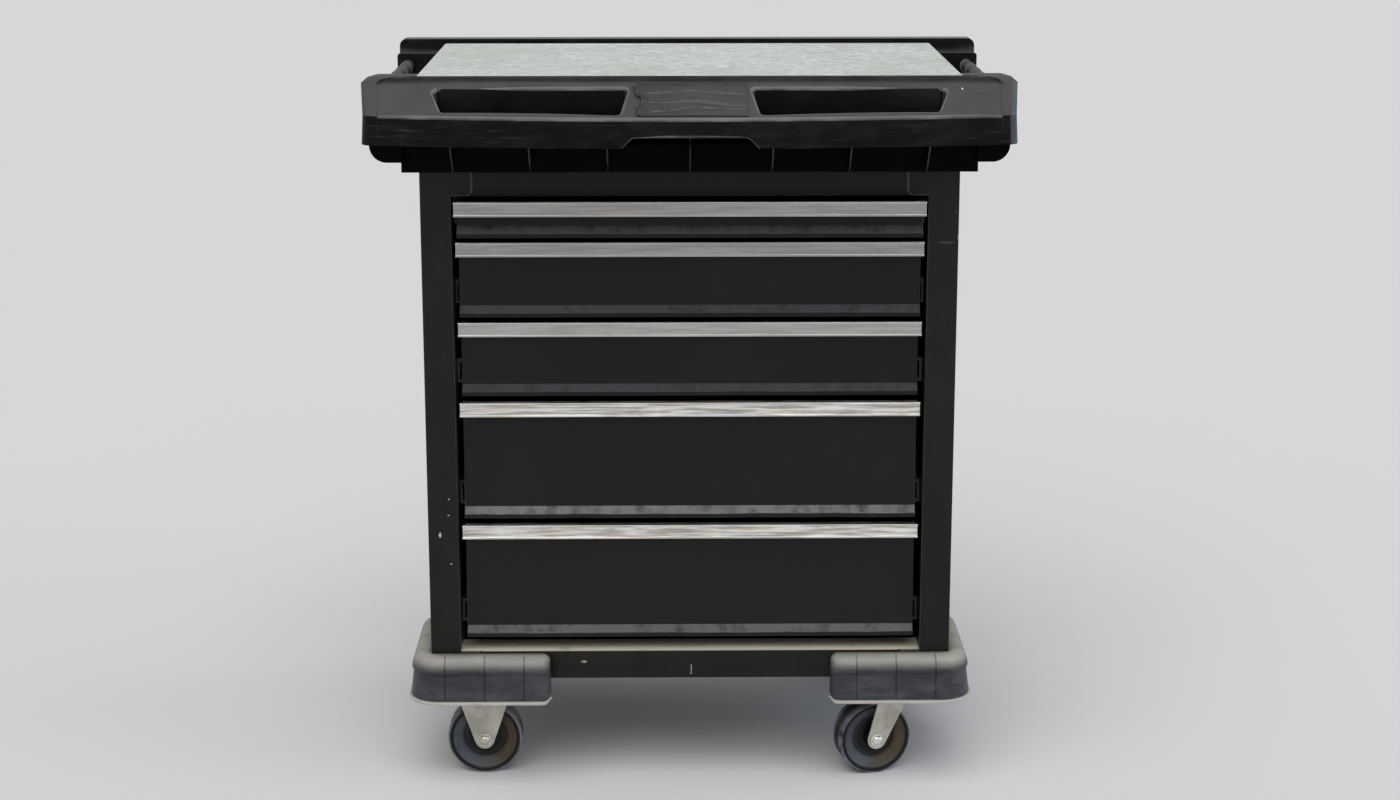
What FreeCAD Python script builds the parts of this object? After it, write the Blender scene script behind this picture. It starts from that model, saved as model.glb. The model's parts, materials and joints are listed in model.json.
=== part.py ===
import FreeCAD, Part
import math
import os

# Rolling tool cabinet: a folded steel body with five drawers on telescopic slides, a moulded
# worktop with two parts pockets, a side handle on each end, corner bumpers, and four casters.
# Millimetres. X runs along the front, Y towards the back, Z up. The origin is on the floor,
# below the middle of the overall length and width.

# Body
BODY_WIDTH = 690.0
BODY_DEPTH = 430.0
BODY_BOTTOM = 145.0
SHEET = 1.5
STILE_WIDTH = 39.5
RETURN_DEPTH = 62.0
BACK_FLANGE = 18.0
CORNER_TAB = 27.0
TAB_RADIUS = 8.0
SEAM = 0.6
SILL_RISE = 38.0
SILL_DEPTH = 46.0
TOP_RAIL_RISE = 34.0
RAIL_DEPTH = 30.0
RAIL_LAP = 12.0
RAIL_SLIT_LENGTH = 20.0
RAIL_SLIT_WIDTH = 1.2
PAN_SHEET = 2.5
PAN_FLANGE = 25.0
UPRIGHT_DEPTH = 40.0
UPRIGHT_SETBACK = 20.0
BODY_FIT = 0.2

# Drawers, from the top one down
DRAWER_PITCHES = (55.0, 107.0, 107.0, 166.0, 165.0)
DRAWER_OPEN_AT_REST = (28.0, 10.0, 0.0, 0.0, 0.0)
TOP_GAP = 3.0
SILL_GAP = 2.0
DRAWER_GAP = 8.0
FRONT_SIDE_GAP = 8.5
PANEL_RECESS = 13.0
PULL_LIP_SETBACK = 1.0
PULL_LIP_DROP = 11.0
BEVEL_START = 14.0
BEVEL_END = 5.0
BEVEL_REACH = 7.0
FRONT_SIDE_FLANGE = 11.0
BOX_SHEET = 1.2
BOX_LENGTH = 384.0
BOX_LIFT = 5.0
BOX_TOP_GAP = 9.0
BOX_HEM_HEIGHT = 5.0
BOX_HEM_WIDTH = 2.0

# Aluminium pull strips
STRIP_LENGTH = 600.0
STRIP_HEIGHT = 18.5
STRIP_PLATE = 2.0
STRIP_BEAD = 1.3
STRIP_TOP_LEG = 3.2
STRIP_TOP_THICKNESS = 1.2

# Telescopic slides
SLIDE_WIDTH = 12.7
SLIDE_HEIGHT = 32.0
SLIDE_SHEET = 1.2
SLIDE_LENGTH = 350.0
SLIDE_FRONT = 45.0
SLIDE_PLAY = 0.5
SLIDE_FIXED_REACH = 10.0
SLIDE_MIDDLE_REACH = 11.0
SLIDE_AXIS_LIFT = 20.0

# Worktop moulding, heights above the top of the body
MOULD_WALL = 4.0
BASE_OVERHANG = 20.0
BASE_RISE = 41.0
SEAT_WIDTH = 14.0
TRAY_OVERHANG = 5.0
CONSOLE_OVERHANG = 65.0
CONSOLE_FLARE = 7.0
SKIRT_FLARE = 2.0
CONSOLE_REACH = 85.0
CONSOLE_BOW = 35.0
CONSOLE_CORNER = 22.0
CORNER_EASE = 0.15
CORNER_FULLNESS = 0.9
CONSOLE_BACK = 28.0
SKIRT_RISE = 39.0
FOLD_RISE = 76.0
RIM_RISE = 110.0
SHOULDER_RISE = 116.0
TOP_RISE = 120.0
RIM_SETBACK = 5.0
RIM_BOW = 1.0
RIM_DRAFT = 3.0
SHOULDER_STEP = 7.0
TOP_STEP = 14.0
NOTCH_HALF = 72.0
NOTCH_FLARE = 14.0
NOTCH_RISE = 13.0
NOTCH_RADIUS = 8.0
PLATE_THICKNESS = 8.0
PLATE_SHEET = 1.5
PLATE_DEPTH = 405.0
PLATE_CORNER = 3.0
PLATE_FIT = 0.3
EAR_INSET = 7.0
EAR_WIDTH = 41.0
EAR_DROP = 24.0
EAR_RADIUS = 22.0
EAR_FRONT = 36.0
REAR_OVERHANG = 5.0
REAR_STEP_IN = 3.0
REAR_GAP = 8.0
REAR_STEP_DEPTH = 8.0
REAR_DEPTH = 34.0
REAR_BOTTOM_RISE = 63.0
REAR_STEP_RISE = 105.0
REAR_TOP_RISE = 125.0
REAR_CORNER = 10.0
REAR_FOOT_CORNER = 4.0
REAR_LAP = 10.0
TRAY_SETBACK = 6.0
RIB_OFFSETS = (104.0, 202.0, 300.0)
RIB_THICKNESS = 2.0
RIB_REACH = 34.0
RIB_DROP = 4.0

# Parts pockets in the console
POCKET_INNER = 78.0
POCKET_OUTER = 325.0
POCKET_TAPER_INNER = 10.0
POCKET_TAPER_OUTER = 15.0
POCKET_BACK_SETBACK = 9.0
POCKET_FRONT_SETBACK = 10.0
POCKET_CORNER = 6.0
POCKET_FLOOR_RISE = 52.0
POCKET_WALL = 3.0

# Tape patch between the pockets
PATCH_HALF = 72.0
PATCH_THICKNESS = 0.8
PATCH_FRONT_SETBACK = 5.0
PATCH_BACK_SETBACK = 2.0

# Side handles
HANDLE_INSET = 10.0
HANDLE_RISE = 86.0
HANDLE_RADIUS = 8.0
HANDLE_SOCKET = 14.0
GRIP_RADIUS = 10.0
GRIP_FIT = 0.1
GRIP_END_GAP = 0.3

# Corner bumpers
BUMPER_LENGTH = 191.0
BUMPER_BOTTOM = 118.0
BUMPER_HEIGHT = 62.0
BUMPER_REACH = 27.0
BUMPER_DRAFT = 2.0
BUMPER_LIP = 3.0
BUMPER_LIP_HEIGHT = 4.0
BUMPER_SHOULDER = 18.0
BUMPER_CROWN = 3.0
BUMPER_TURN = 12.0
BUMPER_FLATS = 4
BUMPER_WALL = 4.0
BUMPER_FLANGE = 3.0
BUMPER_GROOVE_PITCH = 52.5
BUMPER_GROOVE_START = 34.5
BUMPER_GROOVES = 3
GROOVE_WIDTH = 1.6
GROOVE_DEPTH = 1.2
BUMPER_END_CUT = 9.0

# Casters
WHEEL_RADIUS = 50.0
WHEEL_WIDTH = 36.0
AXLE_RADIUS = 5.0
AXLE_FIT = 0.05
AXLE_HEAD_RADIUS = 8.6
AXLE_HEAD_HEIGHT = 5.5
CASTER_X = 278.0
CASTER_INSET = 43.0
CASTER_PLATE_X = 100.0
CASTER_PLATE_Y = 80.0
CASTER_PLATE_THICKNESS = 3.0
CASTER_PLATE_CORNER = 8.0
CASTER_BOLT_X = 80.0
CASTER_BOLT_Y = 62.0
CASTER_BOLT_NECK = 8.0
CASTER_BOLT_FIT = 0.5
BOLT_HEAD_RADIUS = 6.5
BOLT_HEAD_HEIGHT = 4.0
FORK_SHEET = 3.0
FORK_TOP_HALF = 46.0
FORK_EYE_RADIUS = 13.0
FORK_WHEEL_GAP = 3.0
SWIVEL_TRAIL = 33.0
SWIVEL_YAWS = (15.0, -9.0)
RACE_RADIUS = 27.0
RACE_SIDES = 16
RACE_HEIGHT = 9.0
RACE_GAP = 0.3
KINGPIN_RADIUS = 6.0
KINGPIN_FIT = 0.05
KINGPIN_HEAD_RADIUS = 11.0
KINGPIN_HEAD_HEIGHT = 4.0
SWIVEL_LEG_TOP_HALF = 24.0

# How far a cutting shape runs past the face that it cuts
CUT = 1.0

# Levels and lines that follow from the sizes above
HALF_WIDTH = BODY_WIDTH / 2
BUMPER_FOOT = BUMPER_REACH + BUMPER_DRAFT + BUMPER_LIP
OVERALL_DEPTH = CONSOLE_REACH + BODY_DEPTH + BUMPER_FOOT
CONSOLE_HALF = HALF_WIDTH + CONSOLE_OVERHANG
FRONT = CONSOLE_REACH - OVERALL_DEPTH / 2
BACK = FRONT + BODY_DEPTH
OPENING_HALF = HALF_WIDTH - STILE_WIDTH
OPENING_BOTTOM = BODY_BOTTOM + SILL_RISE
OPENING_TOP = OPENING_BOTTOM + SILL_GAP + sum(DRAWER_PITCHES) + DRAWER_GAP + TOP_GAP
BODY_TOP = OPENING_TOP + TOP_RAIL_RISE
DECK_TOP = BODY_TOP + TOP_RISE - PLATE_THICKNESS
REAR_FRONT = FRONT + PLATE_DEPTH + REAR_GAP
REAR_BACK = REAR_FRONT + REAR_DEPTH
BOX_HALF = OPENING_HALF - SLIDE_WIDTH
PANEL_HALF = OPENING_HALF - FRONT_SIDE_GAP
PANEL_FACE = FRONT + PANEL_RECESS
BOX_FRONT = PANEL_FACE + SHEET
BUMPER_STRAIGHT = BUMPER_LENGTH - BUMPER_FOOT
HANDLE_X = CONSOLE_HALF - HANDLE_INSET
EAR_OUTER = CONSOLE_HALF - EAR_INSET
REAR_HALF = CONSOLE_HALF + REAR_OVERHANG
TRAY_BACK = REAR_BACK - TRAY_SETBACK

os.makedirs("parts", exist_ok=True)


def on_xy(z):
    """Places plan points (x, y) at the height z."""
    return lambda u, v: FreeCAD.Vector(u, v, z)


def on_yz(x):
    """Places section points (y, z) at the length position x."""
    return lambda u, v: FreeCAD.Vector(x, u, v)


def on_xz(y):
    """Places front-view points (x, z) at the depth y."""
    return lambda u, v: FreeCAD.Vector(u, y, v)


def block(x0, x1, y0, y1, z0, z1):
    """A box between two corners."""
    return Part.makeBox(x1 - x0, y1 - y0, z1 - z0, FreeCAD.Vector(x0, y0, z0))


def rod(radius, start, direction, length):
    """A round bar."""
    return Part.makeCylinder(radius, length, FreeCAD.Vector(*start), FreeCAD.Vector(*direction))


def mirrored(shape):
    """The same shape on the other side of the middle plane."""
    return shape.mirror(FreeCAD.Vector(0, 0, 0), FreeCAD.Vector(1, 0, 0))


def moved(shape, x=0.0, y=0.0, z=0.0):
    """A copy of the shape, moved."""
    copy = shape.copy()
    copy.translate(FreeCAD.Vector(x, y, z))
    return copy


def turned(shape, centre_x, centre_y, degrees):
    """A copy of the shape, turned about an upright axis."""
    copy = shape.copy()
    copy.rotate(FreeCAD.Vector(centre_x, centre_y, 0), FreeCAD.Vector(0, 0, 1), degrees)
    return copy


def corner_arc(before, here, after, radius):
    """Start, middle and end of the arc that rounds one corner."""
    back_length = math.dist(before, here)
    ahead_length = math.dist(after, here)
    back = ((before[0] - here[0]) / back_length, (before[1] - here[1]) / back_length)
    ahead = ((after[0] - here[0]) / ahead_length, (after[1] - here[1]) / ahead_length)
    half_angle = math.acos(max(-1.0, min(1.0, back[0] * ahead[0] + back[1] * ahead[1]))) / 2
    reach = radius / math.tan(half_angle)
    bisector = (back[0] + ahead[0], back[1] + ahead[1])
    depth = (radius / math.sin(half_angle) - radius) / math.hypot(*bisector)
    start = (here[0] + back[0] * reach, here[1] + back[1] * reach)
    middle = (here[0] + bisector[0] * depth, here[1] + bisector[1] * depth)
    end = (here[0] + ahead[0] * reach, here[1] + ahead[1] * reach)
    return start, middle, end


def rounded_wire(points, radius, place):
    """A closed outline with every corner rounded by one radius, or by a list of radii."""
    count = len(points)
    radii = radius if isinstance(radius, list) else [radius] * count
    arcs = []
    for i, here in enumerate(points):
        if radii[i] > 0:
            arcs.append(corner_arc(points[i - 1], here, points[(i + 1) % count], radii[i]))
        else:
            arcs.append((here, here, here))
    edges = []
    for i, (start, middle, end) in enumerate(arcs):
        if radii[i] > 0:
            edges.append(Part.Arc(place(*start), place(*middle), place(*end)).toShape())
        following = arcs[(i + 1) % count][0]
        if math.dist(end, following) > 1e-6:
            edges.append(Part.LineSegment(place(*end), place(*following)).toShape())
    return Part.Wire(edges)


def plate(points, radius, place, direction):
    """A flat outline with rounded corners, pushed out into a solid."""
    return Part.Face(rounded_wire(points, radius, place)).extrude(FreeCAD.Vector(*direction))


def folded(path, sheet, place, direction):
    """Sheet metal with sharp folds along a path, pushed out. It lies to the left of the path."""
    headings = []
    for here, following in zip(path, path[1:]):
        length = math.dist(here, following)
        headings.append(((following[0] - here[0]) / length, (following[1] - here[1]) / length))
    inside = []
    for i, (u, v) in enumerate(path):
        first = headings[max(i - 1, 0)]
        second = headings[min(i, len(headings) - 1)]
        reach = sheet / (1 + first[0] * second[0] + first[1] * second[1])
        inside.append((u - reach * (first[1] + second[1]), v + reach * (first[0] + second[0])))
    return plate(path + inside[::-1], 0, place, direction)


def square_bar(x, y, half, z, length):
    """An upright square bar."""
    return block(x - half, x + half, y - half, y + half, z, z + length)


def many_sided_bar(sides, radius, start, direction, length):
    """A regular prism, measured to its corners."""
    base = FreeCAD.Vector(*start)
    axis = FreeCAD.Vector(*direction)
    side = FreeCAD.Vector(1, 0, 0) if abs(axis.x) < 0.5 else FreeCAD.Vector(0, 1, 0)
    across = axis.cross(side)
    corners = []
    for i in range(sides + 1):
        angle = math.radians(360 * i / sides)
        corners.append(base + (side * math.cos(angle) + across * math.sin(angle)) * radius)
    return Part.Face(Part.makePolygon(corners)).extrude(axis * length)


def clipped_plate(x0, x1, y0, y1, corner, z, thickness):
    """A flat rectangular plate with its corners cut off."""
    outline = [(x0 + corner, y0), (x1 - corner, y0), (x1, y0 + corner), (x1, y1 - corner),
               (x1 - corner, y1), (x0 + corner, y1), (x0, y1 - corner), (x0, y0 + corner)]
    return plate(outline, 0, on_xy(z), (0, 0, thickness))


def fused(shapes):
    """One solid from touching shapes."""
    whole = shapes[0]
    if len(shapes) > 1:
        whole = whole.multiFuse(shapes[1:])
    return whole.removeSplitter()


def save(name, solids):
    """Writes one sub-part, and reports its solids."""
    shape = solids if not isinstance(solids, list) else Part.makeCompound(solids)
    shape.exportStep("parts/" + name + ".step")
    print(name, len(shape.Solids), shape.isValid(), round(shape.Volume))


def drawer_levels():
    """Bottom and top of each drawer front, from the top drawer down."""
    levels = []
    top = OPENING_TOP - TOP_GAP
    for pitch in DRAWER_PITCHES:
        levels.append((top - pitch + DRAWER_GAP, top))
        top = top - pitch
    return levels


def side_panel():
    """Left side: wall, front stile with its return, rear flange, and tabs over the two rails."""
    path = [
        (-OPENING_HALF, FRONT + RETURN_DEPTH),
        (-OPENING_HALF, FRONT),
        (-HALF_WIDTH, FRONT),
        (-HALF_WIDTH, BACK),
        (-HALF_WIDTH + BACK_FLANGE, BACK),
    ]
    height = BODY_TOP - BODY_BOTTOM
    panel = folded(path[::-1], SHEET, on_xy(BODY_BOTTOM), (0, 0, height))
    behind = FRONT + SHEET
    tab_start = -OPENING_HALF - SHEET
    tab_end = -OPENING_HALF + CORNER_TAB
    above = block(tab_start, tab_end, behind, behind + RETURN_DEPTH, OPENING_TOP, BODY_TOP)
    below = block(tab_start, tab_end, behind, behind + RETURN_DEPTH, BODY_BOTTOM, OPENING_BOTTOM)
    panel = panel.cut(above).cut(below)
    low = plate([(tab_start, BODY_BOTTOM), (tab_end, BODY_BOTTOM), (tab_end, OPENING_BOTTOM - SEAM),
                 (tab_start, OPENING_BOTTOM - SEAM)], [0, 0, TAB_RADIUS, 0], on_xz(FRONT), (0, SHEET, 0))
    high = plate([(tab_start, OPENING_TOP + SEAM), (tab_end, OPENING_TOP + SEAM), (tab_end, BODY_TOP),
                  (tab_start, BODY_TOP)], [0, TAB_RADIUS, 0, 0], on_xz(FRONT), (0, SHEET, 0))
    return fused([panel, low, high])


def rail(path):
    """A front rail: flush between the corner tabs, and stepped back behind them."""
    flush_half = OPENING_HALF - CORNER_TAB - SEAM
    full_half = HALF_WIDTH - SHEET - BODY_FIT
    middle = folded(path, SHEET, on_yz(-flush_half), (2 * flush_half, 0, 0))
    stepped = [(y + SHEET, z) for y, z in path]
    length = full_half - flush_half + RAIL_LAP
    right = folded(stepped, SHEET, on_yz(flush_half - RAIL_LAP), (length, 0, 0))
    return [middle, right, mirrored(right)]


def top_rail():
    """Channel over the top drawer."""
    path = [(FRONT + RAIL_DEPTH, OPENING_TOP), (FRONT, OPENING_TOP), (FRONT, BODY_TOP),
            (FRONT + RAIL_DEPTH, BODY_TOP)]
    return fused(rail(path[::-1]))


def bottom_rail():
    """Sill and apron under the bottom drawer, with a narrow slit in the middle."""
    path = [(FRONT + SILL_DEPTH, OPENING_BOTTOM), (FRONT, OPENING_BOTTOM), (FRONT, BODY_BOTTOM)]
    whole = fused(rail(path))
    slit_bottom = BODY_BOTTOM + (SILL_RISE - RAIL_SLIT_LENGTH) / 3
    slit = block(-RAIL_SLIT_WIDTH / 2, RAIL_SLIT_WIDTH / 2, FRONT - CUT, FRONT + SHEET + CUT, slit_bottom,
                 slit_bottom + RAIL_SLIT_LENGTH)
    return whole.cut(slit)


def caster_centres():
    """Mounting centres, as (name, x, y), front ones first."""
    front = FRONT + CASTER_INSET
    rear = BACK - CASTER_INSET
    return [("front_left", -CASTER_X, front), ("rear_left", -CASTER_X, rear),
            ("front_right", CASTER_X, front), ("rear_right", CASTER_X, rear)]


def bolt_places():
    """Plan positions of the sixteen caster bolts."""
    places = []
    for _, x, y in caster_centres():
        for side in (-1, 1):
            for end in (-1, 1):
                places.append((x + side * CASTER_BOLT_X / 2, y + end * CASTER_BOLT_Y / 2))
    return places


def bolt_hole(x, y, z, sheet):
    """Cutting shape for a square bolt hole through a sheet that lies on z."""
    return square_bar(x, y, CASTER_BOLT_NECK / 2 + CASTER_BOLT_FIT, z - CUT, sheet + 2 * CUT)


def floor_pan():
    """Bottom panel: a shallow pan with its edges turned up, drilled for the casters."""
    half = HALF_WIDTH - SHEET - BODY_FIT
    y0 = FRONT + 2 * SHEET
    y1 = BACK - 2 * SHEET
    z1 = BODY_BOTTOM + PAN_FLANGE
    pan = block(-half, half, y0, y1, BODY_BOTTOM, z1)
    inside = block(-half + PAN_SHEET, half - PAN_SHEET, y0 + PAN_SHEET, y1 - PAN_SHEET,
                   BODY_BOTTOM + PAN_SHEET, z1 + CUT)
    pan = pan.cut(inside)
    for x, y in bolt_places():
        pan = pan.cut(bolt_hole(x, y, BODY_BOTTOM, PAN_SHEET))
    return pan


def back_panel():
    """Back sheet, inside the rear flanges of the sides."""
    half = HALF_WIDTH - SHEET - BODY_FIT
    return block(-half, half, BACK - 2 * SHEET, BACK - SHEET, BODY_BOTTOM, BODY_TOP)


def top_panel():
    """Top sheet under the worktop, with its sides turned down."""
    half = HALF_WIDTH - SHEET - BODY_FIT
    top = BODY_TOP - SHEET
    path = [(half, top - PAN_FLANGE), (half, top), (-half, top), (-half, top - PAN_FLANGE)]
    y0 = FRONT + 2 * SHEET
    return folded(path, SHEET, on_xz(y0), (0, BACK - 2 * SHEET - y0, 0))


def rear_uprights():
    """Channels at the back that carry the rear ends of the slides."""
    y1 = BACK - 2 * SHEET - UPRIGHT_SETBACK
    y0 = y1 - UPRIGHT_DEPTH
    wall = -HALF_WIDTH + SHEET
    path = [(wall, y0), (-OPENING_HALF, y0), (-OPENING_HALF, y1), (wall, y1)]
    bottom = BODY_BOTTOM + PAN_FLANGE
    left = folded(path, SHEET, on_xy(bottom), (0, 0, BODY_TOP - 2 * SHEET - PAN_FLANGE - bottom))
    return [left, mirrored(left)]


def slide_channel(web, reach, half_height, z, y):
    """One member of a left slide: a C section with its web at one place and its legs at another."""
    low = z - half_height
    high = z + half_height
    path = [(reach, low), (web, low), (web, high), (reach, high)]
    if reach > web:
        path = path[::-1]
    return folded(path, SLIDE_SHEET, on_xz(y), (0, SLIDE_LENGTH, 0))


def slide_members(bottom, opened):
    """Fixed, middle and drawer members of the left slide of one drawer."""
    z = bottom + BOX_LIFT + SLIDE_AXIS_LIFT
    y = FRONT + SLIDE_FRONT
    wall = -OPENING_HALF
    step = SLIDE_SHEET + SLIDE_PLAY
    half = SLIDE_HEIGHT / 2
    fixed = slide_channel(wall, wall + SLIDE_FIXED_REACH, half, z, y)
    middle = slide_channel(wall + step, wall + SLIDE_MIDDLE_REACH, half - step, z, y - opened / 2)
    inner = slide_channel(wall + SLIDE_WIDTH, wall + 2 * step, half - 2 * step, z, y - opened)
    return fixed, middle, inner


def drawer_box(bottom, top, opened):
    """Open tray of folded sheet with a thicker hem along its top edge."""
    z0 = bottom + BOX_LIFT
    z1 = top - BOX_TOP_GAP
    y0 = BOX_FRONT - opened
    y1 = y0 + BOX_LENGTH
    outer = block(-BOX_HALF, BOX_HALF, y0, y1, z0, z1)
    t = BOX_SHEET
    inner = block(-BOX_HALF + t, BOX_HALF - t, y0 + t, y1 - t, z0 + t, z1 + CUT)
    tray = outer.cut(inner)
    hem_bottom = z1 - BOX_HEM_HEIGHT
    w = t + BOX_HEM_WIDTH
    ring = outer.common(block(-BOX_HALF, BOX_HALF, y0, y1, hem_bottom, z1))
    ring = ring.cut(block(-BOX_HALF + w, BOX_HALF - w, y0 + w, y1 - w, hem_bottom - CUT, z1 + CUT))
    return fused([tray, ring])


def drawer_front(bottom, top, opened):
    """Front skin: pull ledge with its lip, plain face, bevelled foot, and two side flanges."""
    lip = FRONT + PULL_LIP_SETBACK
    ledge = top - STRIP_TOP_THICKNESS
    back = PANEL_FACE + SHEET
    foot = back - BEVEL_REACH
    path = [(lip, ledge - PULL_LIP_DROP), (lip, ledge), (back, ledge), (back, bottom + BEVEL_START),
            (foot, bottom + BEVEL_END), (foot, bottom)]
    skin = folded(path[::-1], SHEET, on_yz(-PANEL_HALF), (2 * PANEL_HALF, 0, 0))
    flange = block(-PANEL_HALF, -PANEL_HALF + SHEET, PANEL_FACE + SHEET / 2, back + FRONT_SIDE_FLANGE,
                   bottom + BEVEL_START + SHEET, ledge - SHEET)
    return moved(fused([skin, flange, mirrored(flange)]), y=-opened)


def pull_strip(top, opened):
    """Aluminium extrusion over the lip of a drawer's pull ledge, beaded along both long edges."""
    back = FRONT + PULL_LIP_SETBACK
    face = back - STRIP_PLATE
    leg = face + STRIP_PLATE + STRIP_TOP_LEG
    low = top - STRIP_HEIGHT
    bead = STRIP_BEAD
    section = [(back, low), (back, top - STRIP_TOP_THICKNESS), (leg, top - STRIP_TOP_THICKNESS), (leg, top),
               (face - bead, top), (face - bead, top - 2 * bead), (face, top - 2 * bead),
               (face, low + 2 * bead), (face - bead, low + 2 * bead), (face - bead, low)]
    strip = plate(section, 0, on_yz(-STRIP_LENGTH / 2), (STRIP_LENGTH, 0, 0))
    return moved(strip, y=-opened)


def console_outline(half, front, bow, inset, z):
    """Plan outline of the console at one height: bowed front, rounded front corners, straight back."""
    half = half - inset
    front = front + inset
    back = FRONT + CONSOLE_BACK - inset
    radius = (half * half + bow * bow) / (2 * bow)
    slope = math.asin(half / radius)
    bow_half = half - CONSOLE_CORNER * (1 - math.sin(slope) + CORNER_EASE)
    bow_y = front + radius - math.sqrt(radius * radius - bow_half * bow_half)
    side_y = max(bow_y + CONSOLE_CORNER, front + bow)
    clip = CORNER_FULLNESS * CONSOLE_CORNER * (1 - math.sqrt(0.5))
    place = on_xy(z)
    front_middle = place(0.0, front)
    left, right = [
        [place(side * bow_half, bow_y), place(side * (half - clip), bow_y + clip), place(side * half, side_y),
         place(side * half, back)]
        for side in (-1, 1)
    ]
    edges = [
        Part.Arc(left[0], front_middle, right[0]).toShape(),
        Part.Arc(right[0], right[1], right[2]).toShape(),
        Part.LineSegment(right[2], right[3]).toShape(),
        Part.LineSegment(right[3], left[3]).toShape(),
        Part.LineSegment(left[3], left[2]).toShape(),
        Part.Arc(left[2], left[1], left[0]).toShape(),
    ]
    return Part.Wire(edges)


def console_form(inset, lift):
    """Console as a solid: skirt, sloping apron, rim and, on the outside only, a rounded top edge."""
    front = FRONT - CONSOLE_REACH
    rim = FRONT - RIM_SETBACK - RIM_BOW
    shoulder_half = CONSOLE_HALF + CONSOLE_FLARE - SHOULDER_STEP
    levels = [
        (SKIRT_RISE, CONSOLE_HALF + SKIRT_FLARE, front, CONSOLE_BOW),
        (FOLD_RISE, CONSOLE_HALF, front, CONSOLE_BOW),
        (RIM_RISE, CONSOLE_HALF + CONSOLE_FLARE, rim, RIM_BOW),
    ]
    if inset == 0:
        levels.append((SHOULDER_RISE, shoulder_half, rim + RIM_DRAFT / 2, RIM_BOW))
    levels.append((TOP_RISE, shoulder_half - TOP_STEP, rim + RIM_DRAFT, RIM_BOW))
    wires = [console_outline(half, y, bow, inset, BODY_TOP + rise + lift) for rise, half, y, bow in levels]
    return Part.makeLoft(wires, True, True)


def pocket_outline(grow, z):
    """Plan outline of the right-hand pocket, its front edge following the bow of the console."""
    back = FRONT - RIM_SETBACK - POCKET_BACK_SETBACK + grow
    outer_back = POCKET_OUTER + grow
    inner_back = POCKET_INNER - grow
    outer_front = POCKET_OUTER - POCKET_TAPER_OUTER + grow
    inner_front = POCKET_INNER + POCKET_TAPER_INNER - grow

    def front_at(x):
        return FRONT - CONSOLE_REACH + CONSOLE_BOW * (x / CONSOLE_HALF) ** 2 + POCKET_FRONT_SETBACK - grow

    points = [(inner_front, front_at(inner_front)), (outer_front, front_at(outer_front)), (outer_back, back),
              (inner_back, back)]
    return rounded_wire(points, POCKET_CORNER, on_xy(z))


def pocket_form(wall):
    """Pocket as a solid, from its floor to above the apron."""
    floor = BODY_TOP + POCKET_FLOOR_RISE - wall
    height = BODY_TOP + TOP_RISE + CUT - floor
    return Part.Face(pocket_outline(wall, floor)).extrude(FreeCAD.Vector(0, 0, height))


def skirt_notch():
    """The shallow cut-out in the middle of the skirt's bottom edge."""
    low = BODY_TOP + SKIRT_RISE - CUT
    high = BODY_TOP + SKIRT_RISE + NOTCH_RISE
    foot = NOTCH_HALF + NOTCH_FLARE
    points = [(-foot, low), (foot, low), (NOTCH_HALF, high), (-NOTCH_HALF, high)]
    radii = [0, 0, NOTCH_RADIUS, NOTCH_RADIUS]
    return plate(points, radii, on_xz(FRONT - CONSOLE_REACH - CUT), (0, 3 * MOULD_WALL, 0))


def ear():
    """Rounded lug that hangs from the right end of the console."""
    top = BODY_TOP + SKIRT_RISE + MOULD_WALL
    low = BODY_TOP + SKIRT_RISE - EAR_DROP
    inner = EAR_OUTER - EAR_WIDTH
    points = [(inner, low), (EAR_OUTER, low), (EAR_OUTER, top), (inner, top)]
    return plate(points, [0, EAR_RADIUS, 0, 0], on_xz(FRONT - EAR_FRONT), (0, EAR_FRONT + CONSOLE_BACK, 0))


def rear_band():
    """Raised band along the back edge, stepped in above, that holds the rear ends of the handles."""
    low = BODY_TOP + REAR_BOTTOM_RISE
    step = BODY_TOP + REAR_STEP_RISE
    top = BODY_TOP + REAR_TOP_RISE
    half = REAR_HALF
    lower = plate([(-half, low), (half, low), (half, step), (-half, step)], REAR_FOOT_CORNER,
                  on_xz(REAR_FRONT), (0, REAR_DEPTH, 0))
    half = REAR_HALF - REAR_STEP_IN
    low = low + REAR_LAP
    upper = plate([(-half, low), (half, low), (half, top), (-half, top)], [0, 0, REAR_CORNER, REAR_CORNER],
                  on_xz(REAR_FRONT + REAR_STEP_DEPTH), (0, REAR_DEPTH - REAR_STEP_DEPTH, 0))
    return [lower, upper]


def rib(x):
    """One upright web between the base wall and the underside of the console."""
    wall = FRONT - BASE_OVERHANG
    nose = wall - RIB_REACH
    top = BODY_TOP + POCKET_FLOOR_RISE - POCKET_WALL / 2
    points = [(wall, BODY_TOP), (wall + MOULD_WALL / 2, BODY_TOP), (wall + MOULD_WALL / 2, top), (nose, top),
              (nose, BODY_TOP + SKIRT_RISE - RIB_DROP)]
    return plate(points, 0, on_yz(x - RIB_THICKNESS / 2), (RIB_THICKNESS, 0, 0))


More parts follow.
